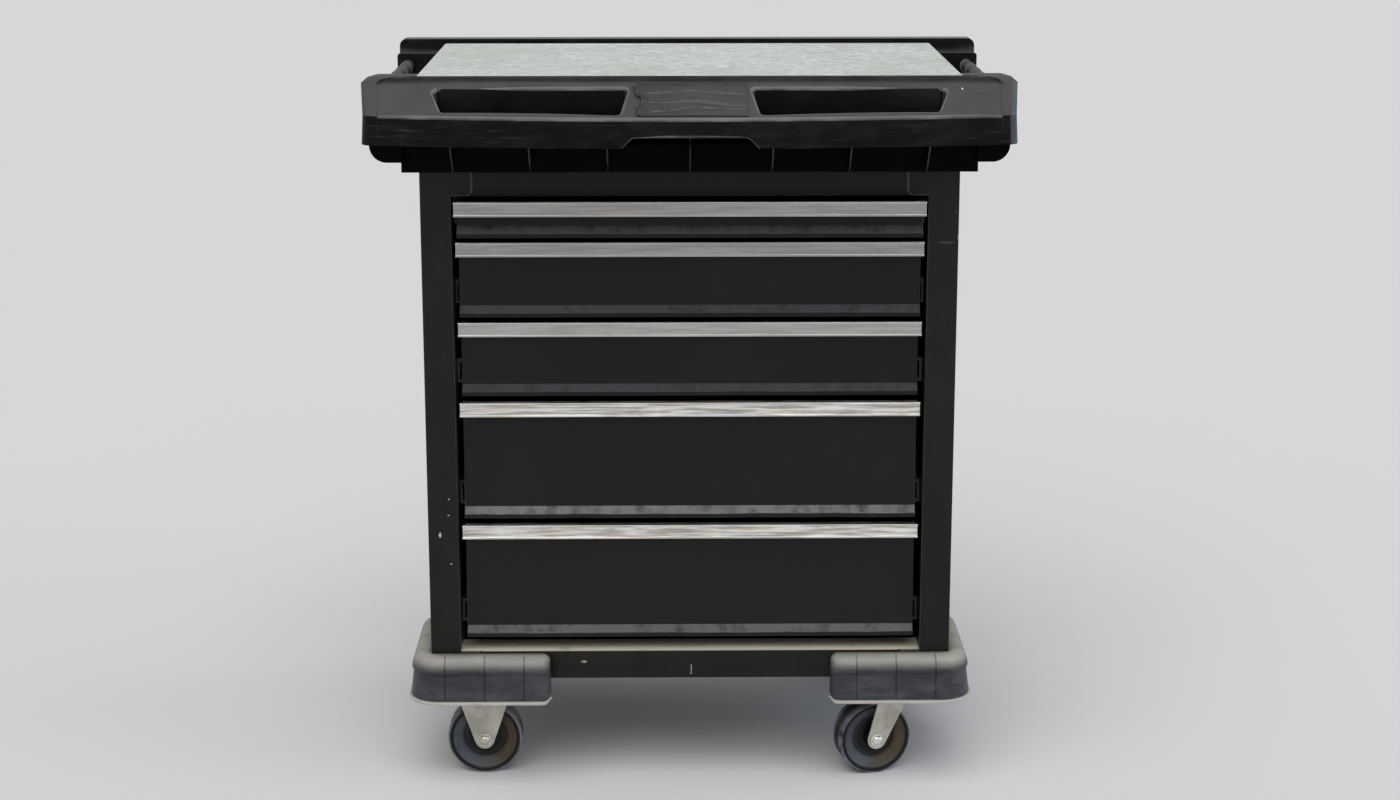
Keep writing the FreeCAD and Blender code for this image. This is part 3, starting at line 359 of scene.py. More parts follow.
@dataclass(frozen=True)
class Enamel:
    """Black semi-gloss enamel on steel sheet, hazed by handling, with dust where it faces up."""

    name: str
    colour: Colour = (0.0076, 0.0076, 0.0054)
    hazed: Colour = (0.0150, 0.0148, 0.0112)
    dust: Colour = (0.150, 0.132, 0.105)
    bare: Colour = (0.55, 0.55, 0.52)
    haze: float = 0.6
    dustiness: float = 0.75
    chips: tuple[Mark, ...] = ()
    scuffs: tuple[Mark, ...] = ()
    tabs: tuple[Seam, ...] = ()
    line: Colour = (0.20, 0.19, 0.17)
    dust_slope: Pair = (0.35, 0.9)
    dust_cover: Pair = (0.22, 0.58)
    seed: float = 0.0

    def material(self) -> bpy.types.Material:
        """Builds the material."""
        shader = Shader(self.name)
        cloud = shader.grain(7.0, 5.0, (1.0, 1.0, 0.6), self.seed)
        smear = shader.grain(45.0, 6.0, (1.0, 1.0, 0.3), self.seed + 3.1)
        fine = shader.grain(420.0, 3.0, seed=self.seed + 7.7)
        film = shader.step(cloud * 0.65 + smear * 0.35, 0.40, 0.66) * self.haze
        colour = shader.blend(film, self.colour, self.hazed)
        settled = shader.upward(*self.dust_slope) * shader.step(smear, *self.dust_cover) * self.dustiness
        colour = shader.blend(settled, colour, self.dust)
        front = 1.0 - shader.step(shader.part(shader.facing, Axis.Y), -0.6, -0.3)
        for tab in self.tabs:
            lined = shader.seam(tab) * shader.step(smear, 0.25, 0.55) * front
            colour = shader.blend(lined, colour, self.line)
        specks = shader.step(fine, 0.70, 0.74) * (0.10 + settled * 0.5)
        colour = shader.blend(specks, colour, self.dust)
        rough = 0.36 + film * 0.16 + settled * 0.35
        scuffed = shader.spots(self.scuffs, smear)
        if isinstance(scuffed, Tap):
            colour = shader.blend(scuffed * 0.35 * front, colour, self.dust)
        chipped = shader.spots(self.chips, fine)
        if isinstance(chipped, Tap):
            colour = shader.blend(chipped * front, colour, self.bare)
        peel = shader.bump(shader.grain(900.0, 1.0), 0.00006)
        dents = shader.bump(cloud, 0.0006, peel)
        return shader.dress(colour, rough, dents, specular=0.22)


@dataclass(frozen=True)
class Brushed:
    """Satin metal drawn along X, with stains and bright rubbed places."""

    name: str
    colour: Colour = (0.50, 0.50, 0.485)
    rubbed: Colour = (0.80, 0.80, 0.78)
    stain: Colour = (0.42, 0.33, 0.20)
    staining: float = 0.3
    rubbing: float = 0.6
    roughness: float = 0.34
    tints: tuple[Colour, ...] = ()
    seed: float = 0.0

    def material(self) -> bpy.types.Material:
        """Builds the material."""
        shader = Shader(self.name)
        draw = shader.grain(1.0, 3.0, (9.0, 1500.0, 1500.0), self.seed)
        patch = shader.grain(1.0, 5.0, (14.0, 60.0, 260.0), self.seed + 1.7)
        cloud = shader.grain(6.0, 4.0, seed=self.seed + 4.2)
        polish = shader.step(patch, 0.39, 0.63) * self.rubbing + draw * 0.2
        colour = shader.blend(polish, self.colour, self.rubbed)
        dirty = shader.step(patch * 0.5 + cloud * 0.5, 0.50, 0.68) * self.staining
        colour = shader.blend(dirty, colour, self.stain)
        for number, tint in enumerate(self.tints):
            band = shader.grain(1.0, 3.0, (7.0, 40.0, 330.0), self.seed + 9.0 + number * 2.3)
            colour = shader.blend(shader.step(band, 0.55, 0.70) * 0.55, colour, tint)
        roughness = self.roughness + dirty * 0.25 + draw * 0.08
        return shader.dress(colour, roughness, shader.bump(draw, 0.00008), metallic=1.0 - dirty * 0.5)


@dataclass(frozen=True)
class Plated:
    """Zinc plate on pressed steel, dulled and speckled."""

    name: str
    colour: Colour = (0.44, 0.43, 0.40)
    dull: Colour = (0.27, 0.255, 0.225)
    rust: Colour = (0.12, 0.075, 0.035)
    rusting: float = 0.25
    roughness: float = 0.42
    metallic: float = 0.75
    seed: float = 0.0

    def material(self) -> bpy.types.Material:
        """Builds the material."""
        shader = Shader(self.name)
        cloud = shader.grain(38.0, 5.0, seed=self.seed)
        fine = shader.grain(260.0, 4.0, seed=self.seed + 2.2)
        colour = shader.blend(shader.step(cloud * 0.7 + fine * 0.3, 0.40, 0.62), self.colour, self.dull)
        rusty = shader.step(fine * 0.45 + cloud * 0.55, 0.60, 0.68) * self.rusting
        colour = shader.blend(rusty, colour, self.rust)
        specks = shader.step(fine, 0.68, 0.72) * 0.5
        colour = shader.blend(specks, colour, self.rust)
        roughness = self.roughness + cloud * 0.12 + rusty * 0.3
        return shader.dress(colour, roughness, shader.bump(fine, 0.00010), self.metallic - rusty * 0.6)


@dataclass(frozen=True)
class Moulded:
    """Textured plastic, dusty where it faces up and scratched along its walls."""

    name: str
    colour: Colour = (0.020, 0.0205, 0.022)
    worn: Colour = (0.055, 0.057, 0.062)
    dust: Colour = (0.105, 0.103, 0.096)
    dustiness: float = 0.8
    dust_slope: Pair = (0.2, 0.7)
    wear: float = 0.7
    scratches: float = 0.5
    roughness: float = 0.48
    specular: float = 0.3
    texture: float = 0.00016
    marks: tuple[Mark, ...] = ()
    seed: float = 0.0

    def material(self) -> bpy.types.Material:
        """Builds the material."""
        shader = Shader(self.name)
        cloud = shader.grain(12.0, 5.0, seed=self.seed)
        smear = shader.grain(60.0, 6.0, (0.35, 1.0, 1.0), self.seed + 2.9)
        fine = shader.grain(700.0, 2.0, seed=self.seed + 5.5)
        scratch = shader.grain(1.0, 4.0, (11.0, 60.0, 520.0), self.seed + 8.8)
        rubbed = shader.step(cloud * 0.4 + smear * 0.6, 0.42, 0.64)
        colour = shader.blend(rubbed * self.wear, self.colour, self.worn)
        settled = shader.upward(*self.dust_slope) * (0.30 + cloud * 0.6 + smear * 0.6) * self.dustiness
        colour = shader.blend(settled, colour, self.dust)
        lines = shader.step(scratch, 0.60, 0.70) * self.scratches * (1.0 - shader.upward(0.3, 0.6))
        colour = shader.blend(lines, colour, self.worn)
        specks = shader.step(fine, 0.72, 0.76) * 0.35
        colour = shader.blend(specks, colour, self.dust)
        chipped = shader.spots(self.marks, fine)
        if isinstance(chipped, Tap):
            colour = shader.blend(chipped, colour, (0.8, 0.8, 0.78))
        roughness = self.roughness + settled * 0.18 + rubbed * 0.08
        raised = shader.bump(scratch, 0.00025, shader.bump(fine, self.texture))
        return shader.dress(colour, roughness, raised, specular=self.specular)


@dataclass(frozen=True)
class WornSheet:
    """Pale galvanised worktop sheet, mottled by use."""

    name: str
    colour: Colour = (0.555, 0.600, 0.565)
    pale: Colour = (0.86, 0.89, 0.84)
    grey: Colour = (0.39, 0.43, 0.44)
    warm: Colour = (0.67, 0.685, 0.575)

    def material(self) -> bpy.types.Material:
        """Builds the material."""
        shader = Shader(self.name)
        broad = shader.grain(7.0, 5.0)
        mottle = shader.grain(210.0, 5.0, (0.5, 1.0, 1.0), 2.0)
        rub = shader.grain(1.0, 6.0, (75.0, 260.0, 1.0), 5.0)
        fine = shader.grain(520.0, 3.0, seed=9.0)
        colour = shader.blend(shader.step(mottle, 0.39, 0.60), self.colour, self.pale)
        colour = shader.blend(shader.step(rub * 0.6 + broad * 0.4, 0.49, 0.63) * 0.75, colour, self.grey)
        colour = shader.blend(shader.step(broad, 0.48, 0.66) * 0.4, colour, self.warm)
        colour = shader.blend(shader.step(fine, 0.52, 0.62) * 0.35, colour, self.grey)
        colour = shader.blend(shader.step(fine, 0.72, 0.78) * 0.4, colour, (0.16, 0.16, 0.15))
        raised = shader.bump(mottle, 0.00018, shader.bump(fine, 0.00006))
        return shader.dress(colour, 0.46 + mottle * 0.16, raised, metallic=0.12, specular=0.35)


@dataclass(frozen=True)
class DullTape:
    """Glossy black tape under a film of dust."""

    name: str
    colour: Colour = (0.018, 0.018, 0.018)
    film: Colour = (0.080, 0.079, 0.076)

    def material(self) -> bpy.types.Material:
        """Builds the material."""
        shader = Shader(self.name)
        smear = shader.grain(24.0, 6.0, (0.4, 1.0, 1.0))
        fine = shader.grain(420.0, 4.0, seed=3.0)
        film = shader.step(smear, 0.34, 0.66)
        colour = shader.blend(film * 0.45 + 0.12, self.colour, self.film)
        colour = shader.blend(shader.step(fine, 0.68, 0.73) * 0.4, colour, (0.20, 0.195, 0.18))
        raised = shader.bump(smear, 0.0004, shader.bump(fine, 0.00008))
        return shader.dress(colour, 0.30 + film * 0.22, raised)


@dataclass(frozen=True)
class WheelSkin:
    """Hard dark plastic with dust specks: the concave band painted lighter as a reflection, bluish on the
    left and dust-brown on the right, and the tread painted pale bluish as light.
    """

    name: str
    radius: float
    centre: Point
    colour: Colour = (0.0042, 0.0040, 0.0038)
    dust: Colour = (0.110, 0.082, 0.048)
    cool_reflection: Colour = (0.110, 0.122, 0.150)
    tread: Colour = (0.21, 0.225, 0.255)

    def material(self) -> bpy.types.Material:
        """Builds the material."""
        shader = Shader(self.name)
        offset = shader.vector("SUBTRACT", shader.place, self.centre)
        reach = shader.vector("LENGTH", offset, (0.0, 0.0, 0.0), "Value") / self.radius
        cloud = shader.grain(40.0, 5.0)
        fine = shader.grain(500.0, 3.0, seed=4.0)
        # The concave band is painted lighter, a painted reflection: bluish on the left side, dust-brown on
        # the right.
        band = shader.step(reach, 0.42, 0.74) * (1.0 - shader.step(reach, 0.89, 0.94))
        side = shader.step(shader.part(offset, Axis.X), -0.5 * self.radius, 0.5 * self.radius)
        tint = shader.blend(side, self.cool_reflection, self.dust)
        colour = shader.blend(band * (0.35 + cloud * 0.8), self.colour, tint)
        # The tread is painted pale bluish: painted light from the side.
        lit_tread = shader.step(reach, 1.0, 1.03)
        colour = shader.blend(lit_tread * shader.step(cloud, 0.25, 0.6), colour, self.tread)
        colour = shader.blend(shader.step(fine, 0.7, 0.75) * 0.3, colour, self.dust)
        roughness = 0.36 + cloud * 0.14 + lit_tread * 0.2
        return shader.dress(colour, roughness, shader.bump(fine, 0.00012), specular=0.25)


class Cad:
    """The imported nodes, with the body and the material slot of each."""

    fold_width: float = 0.005
    narrowest: float = 0.0032
    weld_distance: float = 1e-6
    flat_angle: float = 0.6
    corner_steps: int = 3

    def __init__(self, loaded: Mapping[str, Any]) -> None:
        record = loaded["record"]
        self.nodes: dict[str, bpy.types.Object] = loaded["nodes"]
        self.joints = {joint["name"]: joint for joint in loaded["joints"]}
        self.bodies = {node: body for body, nodes in record["behaviour"]["bodies"].items() for node in nodes}
        self.slots = {part["node"]: part["material_slot"] for part in record["subparts"]}
        self._made: dict[str, bpy.types.Material] = {}

    def stuff(self, finish: Finish) -> bpy.types.Material:
        """The material of a finish, built once."""
        if finish.name not in self._made:
            self._made[finish.name] = finish.material()
        return self._made[finish.name]

    def paint(self, node: str, finish: Finish) -> None:
        """Gives a node that keeps its shape a better material."""
        for slot in self.nodes[node].material_slots:
            slot.material = self.stuff(finish)
        LOG.info("%s keeps its shape, in %s", node, finish.name)

    def seat(
        self, piece: bpy.types.Object, nodes: Sequence[str], finishes: Sequence[Finish]
    ) -> bpy.types.Object:
        """Puts a finished piece in the place of CAD nodes of one body.

        Args:
            piece: The piece.
            nodes: The nodes that it stands for.
            finishes: Its materials, in the order of its material slots.

        Returns:
            The piece.
        """
        for finish in finishes:
            piece.data.materials.append(self.stuff(finish))
        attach(piece, self.bodies[nodes[0]])
        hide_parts(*nodes)
        LOG.info("%s stands for %s", piece.name, ", ".join(nodes))
        return piece

    def soften(
        self,
        node: str,
        edge: Edge,
        finish: Finish,
        rubbed: Finish,
        angle: float = 34.0,
        zones: Sequence[tuple[Finish, Zone]] = (),
        region: Region | None = None,
    ) -> bpy.types.Object:
        """Copies a node with its corners rounded over.

        Args:
            node: The CAD node.
            edge: How far its folds and rims are rounded.
            finish: Material of its faces.
            rubbed: Material of its rounded corners, paler than its faces: wear and a painted edge highlight.
            angle: Least angle of a corner, in degrees.
            zones: Other materials, each with a test on a face.
            region: Where corners are rounded, at their full width; everywhere, where they fit, if not given.

        Returns:
            The new piece, which stands for the node.
        """
        work = bmesh.new()
        work.from_mesh(self.nodes[node].data)
        bmesh.ops.remove_doubles(work, verts=work.verts, dist=self.weld_distance)
        flat = math.radians(self.flat_angle)
        bmesh.ops.dissolve_limit(work, angle_limit=flat, verts=work.verts, edges=work.edges)
        bmesh.ops.recalc_face_normals(work, faces=work.faces)
        weights = work.edges.layers.float.new("bevel_weight_edge")
        for line in work.edges:
            if line.is_manifold and line.is_convex and line.calc_face_angle() > math.radians(angle):
                narrower = min(face.calc_area() for face in line.link_faces) / line.calc_length()
                if region is None or (narrower > self.narrowest and region(line)):
                    line[weights] = 1.0 if narrower > self.fold_width else edge.rim / edge.fold
        for face in work.faces:
            face.material_index = 0
            for number, (_, holds) in enumerate(zones):
                if holds(face):
                    face.material_index = 2 + number
        piece = new_piece(node + "_finished", work)
        bevel = piece.modifiers.new("rounded corners", "BEVEL")
        bevel.width = edge.fold
        bevel.segments = self.corner_steps
        bevel.limit_method = "WEIGHT"
        bevel.use_clamp_overlap = region is None
        bevel.harden_normals = True
        # The rounded corners take the second material, which paints an edge highlight besides wear.
        bevel.material = 1
        return self.seat(piece, [node], [finish, rubbed, *(stuff for stuff, _ in zones)])


def new_piece(name: str, work: Work, fold: float = 32.0) -> bpy.types.Object:
    """Turns a working mesh into an object, smooth between its sharp folds.

    Args:
        name: Name of the piece.
        work: The working mesh, which is freed.
        fold: Least angle of a sharp fold, in degrees.

    Returns:
        The object, in the scene.
    """
    mesh = bpy.data.meshes.new(name)
    bmesh.ops.recalc_face_normals(work, faces=work.faces)
    work.to_mesh(mesh)
    work.free()
    mesh.polygons.foreach_set("use_smooth", [True] * len(mesh.polygons))
    mesh.set_sharp_from_angle(angle=math.radians(fold))
    piece = bpy.data.objects.new(name, mesh)
    bpy.context.scene.collection.objects.link(piece)
    return piece


def skin(work: Work, rings: Sequence[Sequence[Any]], closed: bool = True) -> list[list[Face]]:
    """Lays faces between neighbouring rings of points.

    Args:
        work: The mesh that they are added to.
        rings: The rings, equally long.
        closed: Whether each ring runs round to its own start.

    Returns:
        The faces, in the order of the rings and of the points.
    """
    rows = []
    for first, second in zip(rings, rings[1:]):
        count = len(first) if closed else len(first) - 1
        pairs = [(i, (i + 1) % len(first)) for i in range(count)]
        rows.append([work.faces.new((first[i], first[j], second[j], second[i])) for i, j in pairs])
    return rows


def lathe(work: Work, profile: Profile, steps: int, where: Matrix) -> None:
    """Turns a profile about the Y axis into a closed ring of faces.

    Args:
        work: The mesh that it is added to.
        profile: Closed outline as (radius, distance along Y).
        steps: Faces round the turn.
        where: Place of the turned form.
    """
    rings = []
    for number in range(steps):
        angle = 2 * math.pi * number / steps
        ring = [
            work.verts.new(where @ Vector((radius * math.cos(angle), along, radius * math.sin(angle))))
            for radius, along in profile
        ]
        rings.append(ring)
    skin(work, [*rings, rings[0]])
    bmesh.ops.remove_doubles(work, verts=work.verts, dist=1e-7)


def arc(centre: Pair, radii: Pair, start: float, end: float, steps: int) -> list[Pair]:
    """Points along an elliptic arc.

    Args:
        centre: Its centre.
        radii: Its two radii.
        start: First angle, in degrees.
        end: Last angle, in degrees.
        steps: Pieces that it is divided into.

    Returns:
        The points, both ends included.
    """
    points = []
    for number in range(steps + 1):
        angle = math.radians(start + (end - start) * number / steps)
        points.append((centre[0] + radii[0] * math.cos(angle), centre[1] + radii[1] * math.sin(angle)))
    return points


LOW_TAB = Seam(x=0.2785, far_x=0.3055, z=0.1827, radius=0.008, rise=1.0)
HIGH_TAB = Seam(x=0.2785, far_x=0.3055, z=0.7963, radius=0.008, rise=-1.0)
BODY_ENAMEL = Enamel(
    "body enamel", colour=(0.0058, 0.0058, 0.0042), hazed=(0.0108, 0.0106, 0.0082), tabs=(HIGH_TAB,)
)
LEFT_ENAMEL = Enamel(
    "left side enamel",
    chips=(
        Mark(-0.3295, 0.345, 0.0016, 0.0045),
        Mark(-0.3155, 0.305, 0.0013, 0.0010),
        Mark(-0.3180, 0.372, 0.0012, 0.0009),
        Mark(-0.3170, 0.394, 0.0010, 0.0010),
        Mark(-0.3050, 0.449, 0.0008, 0.0026),
        Mark(-0.3040, 0.171, 0.0010, 0.0034),
    ),
    tabs=(LOW_TAB, HIGH_TAB),
    seed=0.4,
)
RIGHT_ENAMEL = Enamel(
    "right side enamel",
    scuffs=(Mark(0.341, 0.775, 0.0030, 0.0016), Mark(0.331, 0.735, 0.0120, 0.0014)),
    chips=(Mark(0.3445, 0.742, 0.0009, 0.0030),),
    tabs=(LOW_TAB, HIGH_TAB),
    seed=1.9,
)
# The sill's dust is painted paler and fuller than elsewhere: dust, and painted light where the sill lies in
# the lowest drawer's shade.
RAIL_ENAMEL = Enamel(
    "rail enamel",
    scuffs=(Mark(-0.142, 0.168, 0.0050, 0.0022),),
    chips=(Mark(-0.141, 0.1675, 0.0014, 0.0009), Mark(0.0004, 0.1575, 0.0013, 0.0085)),
    tabs=(LOW_TAB,),
    dust=(0.66, 0.61, 0.50),
    dustiness=0.97,
    dust_cover=(0.06, 0.44),
    seed=2.6,
)
# Bluish, paler enamel for the left stile's return face, which looks right: a painted bluish reflection.
LIT_RETURN_ENAMEL = Enamel(
    "return enamel painted reflection", colour=(0.030, 0.036, 0.048), hazed=(0.070, 0.082, 0.105), seed=3.3
)
INNER_ENAMEL = Enamel("inner enamel", haze=0.5, dustiness=0.2, seed=8.3)
# Paler enamel for the panels' rounded corners: wear, and a painted edge highlight.
RUBBED_HIGHLIT_ENAMEL = Enamel("rubbed enamel with painted edge highlight", colour=(0.022, 0.022, 0.021), hazed=(0.060, 0.060, 0.057), haze=0.9)
# The slides are painted dark grey: painted shade for the dark gaps beside the drawers.
SHADED_SLIDE_PLATE = Plated(
    "slide plate painted shade", colour=(0.16, 0.16, 0.155), dull=(0.09, 0.09, 0.085), rusting=0.1, metallic=0.9
)
CASTER_PLATE = Plated(
    "caster plate", colour=(0.56, 0.55, 0.49), dull=(0.42, 0.40, 0.335), rusting=0.08, seed=1.2
)
BOLT_PLATE = Plated(
    "bolt plate", colour=(0.80, 0.79, 0.74), dull=(0.56, 0.53, 0.46), rusting=0.15, roughness=0.22
)
BAR_PLATE = Plated("handle bar plate", colour=(0.30, 0.30, 0.29), dull=(0.20, 0.20, 0.19), metallic=0.9)
CONSOLE_PLASTIC = Moulded(
    "console plastic",
    colour=(0.0100, 0.0099, 0.0094),
    worn=(0.043, 0.0425, 0.040),
    dust=(0.096, 0.093, 0.086),
    dustiness=0.8,
    scratches=0.8,
    marks=(Mark(0.3435, 0.9345, 0.0012, 0.0012),),
)
# Darker plastic, with scratches, for the console's upright faces: the darker tone is painted shade.
SHADED_SKIRT_PLASTIC = Moulded(
    "skirt plastic painted shade",
    colour=(0.0042, 0.0042, 0.0036),
    worn=(0.034, 0.0345, 0.037),
    dust=(0.060, 0.060, 0.060),
    wear=0.25,
    scratches=0.9,
    specular=0.09,
    seed=1.3,
)
# Darker plastic inside the pockets: painted shade in the recesses.
SHADED_POCKET_PLASTIC = Moulded(
    "pocket plastic painted shade",
    colour=(0.0026, 0.0028, 0.0031),
    worn=(0.0078, 0.0086, 0.0100),
    dust=(0.014, 0.014, 0.014),
    wear=0.6,
    scratches=0.4,
    roughness=0.38,
    specular=0.08,
    seed=3.7,
)
# Lighter bluish plastic for the console's right end: a painted reflection of light from the right.
CONSOLE_END_REFLECTION = Moulded(
    "console end painted reflection",
    colour=(0.034, 0.040, 0.052),
    worn=(0.085, 0.098, 0.120),
    dust=(0.11, 0.12, 0.135),
    seed=9.4,
)
# Lighter bluish plastic for the pockets' side walls: a painted reflection of light from the side.
POCKET_SIDE_REFLECTION = Moulded(
    "pocket side painted reflection",
    colour=(0.0085, 0.0100, 0.0130),
    worn=(0.038, 0.043, 0.052),
    dust=(0.04, 0.04, 0.04),
    wear=0.8,
)
# Lighter bluish plastic on the rib fronts under the console: a painted highlight.
RIB_HIGHLIGHT = Moulded("rib painted highlight", colour=(0.014, 0.015, 0.017), worn=(0.060, 0.066, 0.078), seed=4.9)
# Near-black plastic below the tray and behind the skirt: painted shade.
SHADED_UNDER_PLASTIC = Moulded(
    "underside plastic painted shade",
    colour=(0.0012, 0.0012, 0.0012),
    worn=(0.0034, 0.0034, 0.0034),
    dust=(0.008, 0.008, 0.008),
    wear=0.5,
    scratches=0.2,
    specular=0.035,
    seed=5.9,
)
# Paler plastic for the moulding's rounded corners and the rear ledge's top: wear, and a painted highlight.
CONSOLE_EDGE_HIGHLIGHT = Moulded(
    "console rubbed edge and painted highlight",
    colour=(0.058, 0.058, 0.058),
    worn=(0.22, 0.222, 0.228),
    dust=(0.19, 0.188, 0.180),
    wear=0.8,
    seed=4.0,
)
BUMPER_PLASTIC = Moulded(
    "bumper plastic",
    colour=(0.030, 0.032, 0.037),
    worn=(0.080, 0.084, 0.095),
    dust=(0.40, 0.385, 0.34),
    dustiness=1.0,
    dust_slope=(0.03, 0.85),
    scratches=0.9,
    roughness=0.42,
    seed=6.6,
)
# The lip is painted much paler than the bumper, as a thin light line along its foot.
BUMPER_LIP = Moulded(
    "bumper pale lip", colour=(0.46, 0.43, 0.39), worn=(0.62, 0.59, 0.55), dust=(0.50, 0.46, 0.40), seed=2.2
)
GRIP_RIM = Moulded(
    "grip worn rim", colour=(0.13, 0.127, 0.118), worn=(0.24, 0.235, 0.22), roughness=0.6, seed=6.1
)
GRIP_RUBBER = Moulded(
    "grip rubber",
    colour=(0.034, 0.0335, 0.031),
    worn=(0.085, 0.083, 0.077),
    dust=(0.14, 0.136, 0.126),
    dustiness=0.45,
    roughness=0.6,
    seed=7.4,
)


@dataclass
class Studio:
    """Pale floor, plain soft light, and a camera where the photographer stood."""

    floor_half: float = 30.0
    floor_colour: Colour = (0.85, 0.84, 0.85)
    floor_shade: float = 0.95
    ground_colour: Colour = (0.60, 0.592, 0.606)
    backdrop_colour: Colour = (0.685, 0.680, 0.695)
    sky_strength: float = 0.36
    sun_spread: float = 1.0
    camera_place: Point = (-0.0248, -3.2216, 1.2965)
    camera_pitch: float = 0.2221
    camera_turn: float = -0.0124
    lens: float = 61.78
    film_width: float = 36.0
    rise: float = -0.045

    def floor(self) -> None:
        """Lays the floor."""
        work = bmesh.new()
        corners = ((-1.0, -1.0), (1.0, -1.0), (1.0, 1.0), (-1.0, 1.0))
        work.faces.new([work.verts.new((x * self.floor_half, y * self.floor_half, 0.0)) for x, y in corners])
        floor = new_piece("studio_floor", work)
        shader = Shader("studio floor")
        cloud = shader.grain(0.7, 3.0)
        shade = tuple(self.floor_shade * part for part in self.floor_colour)
        colour = shader.blend(cloud * 0.5, self.floor_colour, shade)
        floor.data.materials.append(shader.dress(colour, 0.8, specular=0.2))

    @staticmethod
    def background(tree: bpy.types.NodeTree, colour: Colour, strength: float = 1.0) -> bpy.types.NodeSocket:
        """Adds an even background to the world's nodes and gives its output."""
        made = tree.nodes.new("ShaderNodeBackground")
        made.inputs["Color"].default_value = (*colour, 1.0)
        made.inputs["Strength"].default_value = strength
        return made.outputs[0]

    def sky(self) -> None:
        """Lights the room evenly, with a pale ground for the camera and for reflections."""
        world = bpy.data.worlds.new("studio")
        bpy.context.scene.world = world
        world.use_nodes = True
        tree = world.node_tree
        tree.nodes.clear()
        output = tree.nodes.new("ShaderNodeOutputWorld")
        path = tree.nodes.new("ShaderNodeLightPath")
        shader = self.background(tree, (1.0, 1.0, 1.0), self.sky_strength)
        for ray, colour in (("Is Glossy Ray", self.ground_colour), ("Is Camera Ray", self.backdrop_colour)):
            mix = tree.nodes.new("ShaderNodeMixShader")
            tree.links.new(path.outputs[ray], mix.inputs[0])
            tree.links.new(shader, mix.inputs[1])
            tree.links.new(self.background(tree, colour), mix.inputs[2])
            shader = mix.outputs[0]
        tree.links.new(shader, output.inputs["Surface"])

    def sun(self, name: str, heading: Point, strength: float, colour: Colour) -> None:
        """Adds one even light with soft shadows.

        Args:
            name: Its name.
            heading: Direction in which its light goes.
            strength: Its strength.
            colour: Its colour.
        """
        data = bpy.data.lights.new(name, "SUN")
        data.energy = strength
        data.angle = self.sun_spread
        data.color = colour
        sun = bpy.data.objects.new(name, data)
        sun.rotation_euler = Vector(heading).to_track_quat("-Z", "Y").to_euler()
        bpy.context.scene.collection.objects.link(sun)

    def camera(self) -> None:
        """Stands the camera."""
        data = bpy.data.cameras.new("camera")
        data.lens = self.lens
        data.sensor_width = self.film_width
        data.sensor_fit = "HORIZONTAL"
        data.shift_y = self.rise
        camera = bpy.data.objects.new("camera", data)
        camera.location = self.camera_place
        camera.rotation_euler = (math.pi / 2 - self.camera_pitch, 0.0, self.camera_turn)
        bpy.context.scene.collection.objects.link(camera)
        bpy.context.scene.camera = camera

    def build(self) -> None:
        """Sets up the whole studio."""
        bpy.context.scene.view_settings.view_transform = "Standard"
        self.floor()
        self.sky()
        self.sun("overhead light", (0.12, 0.60, -1.0), 1.46, (1.0, 1.0, 1.0))
        self.sun("side light", (-1.0, 0.15, -0.22), 0.95, (0.72, 0.86, 1.0))
        self.camera()


@dataclass
class Assembly:
    """Pieces that belong together on the cabinet.

    Args:
        cad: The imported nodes.
    """

    cad: Cad


@dataclass
class Body(Assembly):
    """Folded steel body: sides with their stiles, rails, back, pan, top and uprights."""

    return_depth: float = 0.02

    def dress(self) -> None:
        """Finishes the panels."""
        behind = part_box("left_side_panel")[0].y + self.return_depth
        # The return face that looks right is painted bluish and paler: a painted reflection.
        inner = ((LIT_RETURN_ENAMEL, lambda face: face.normal.x > 0.9 and face.calc_center_median().y < behind),)
        self.cad.soften("left_side_panel", Edge.SHEET, LEFT_ENAMEL, RUBBED_HIGHLIT_ENAMEL, zones=inner)
        panels = {"right_side_panel": RIGHT_ENAMEL, "top_rail": BODY_ENAMEL}
        panels |= {"bottom_rail": RAIL_ENAMEL, "back_panel": BODY_ENAMEL}
        for node, finish in panels.items():
            self.cad.soften(node, Edge.SHEET, finish, RUBBED_HIGHLIT_ENAMEL)
        for node in ("floor_pan", "top_panel", "rear_uprights"):
            self.cad.paint(node, INNER_ENAMEL)
        # The slides carry painted shade.
        for node in ("fixed_slides", "drawer_1_left_fixed_slide", "drawer_1_right_fixed_slide"):
            self.cad.paint(node, SHADED_SLIDE_PLATE)


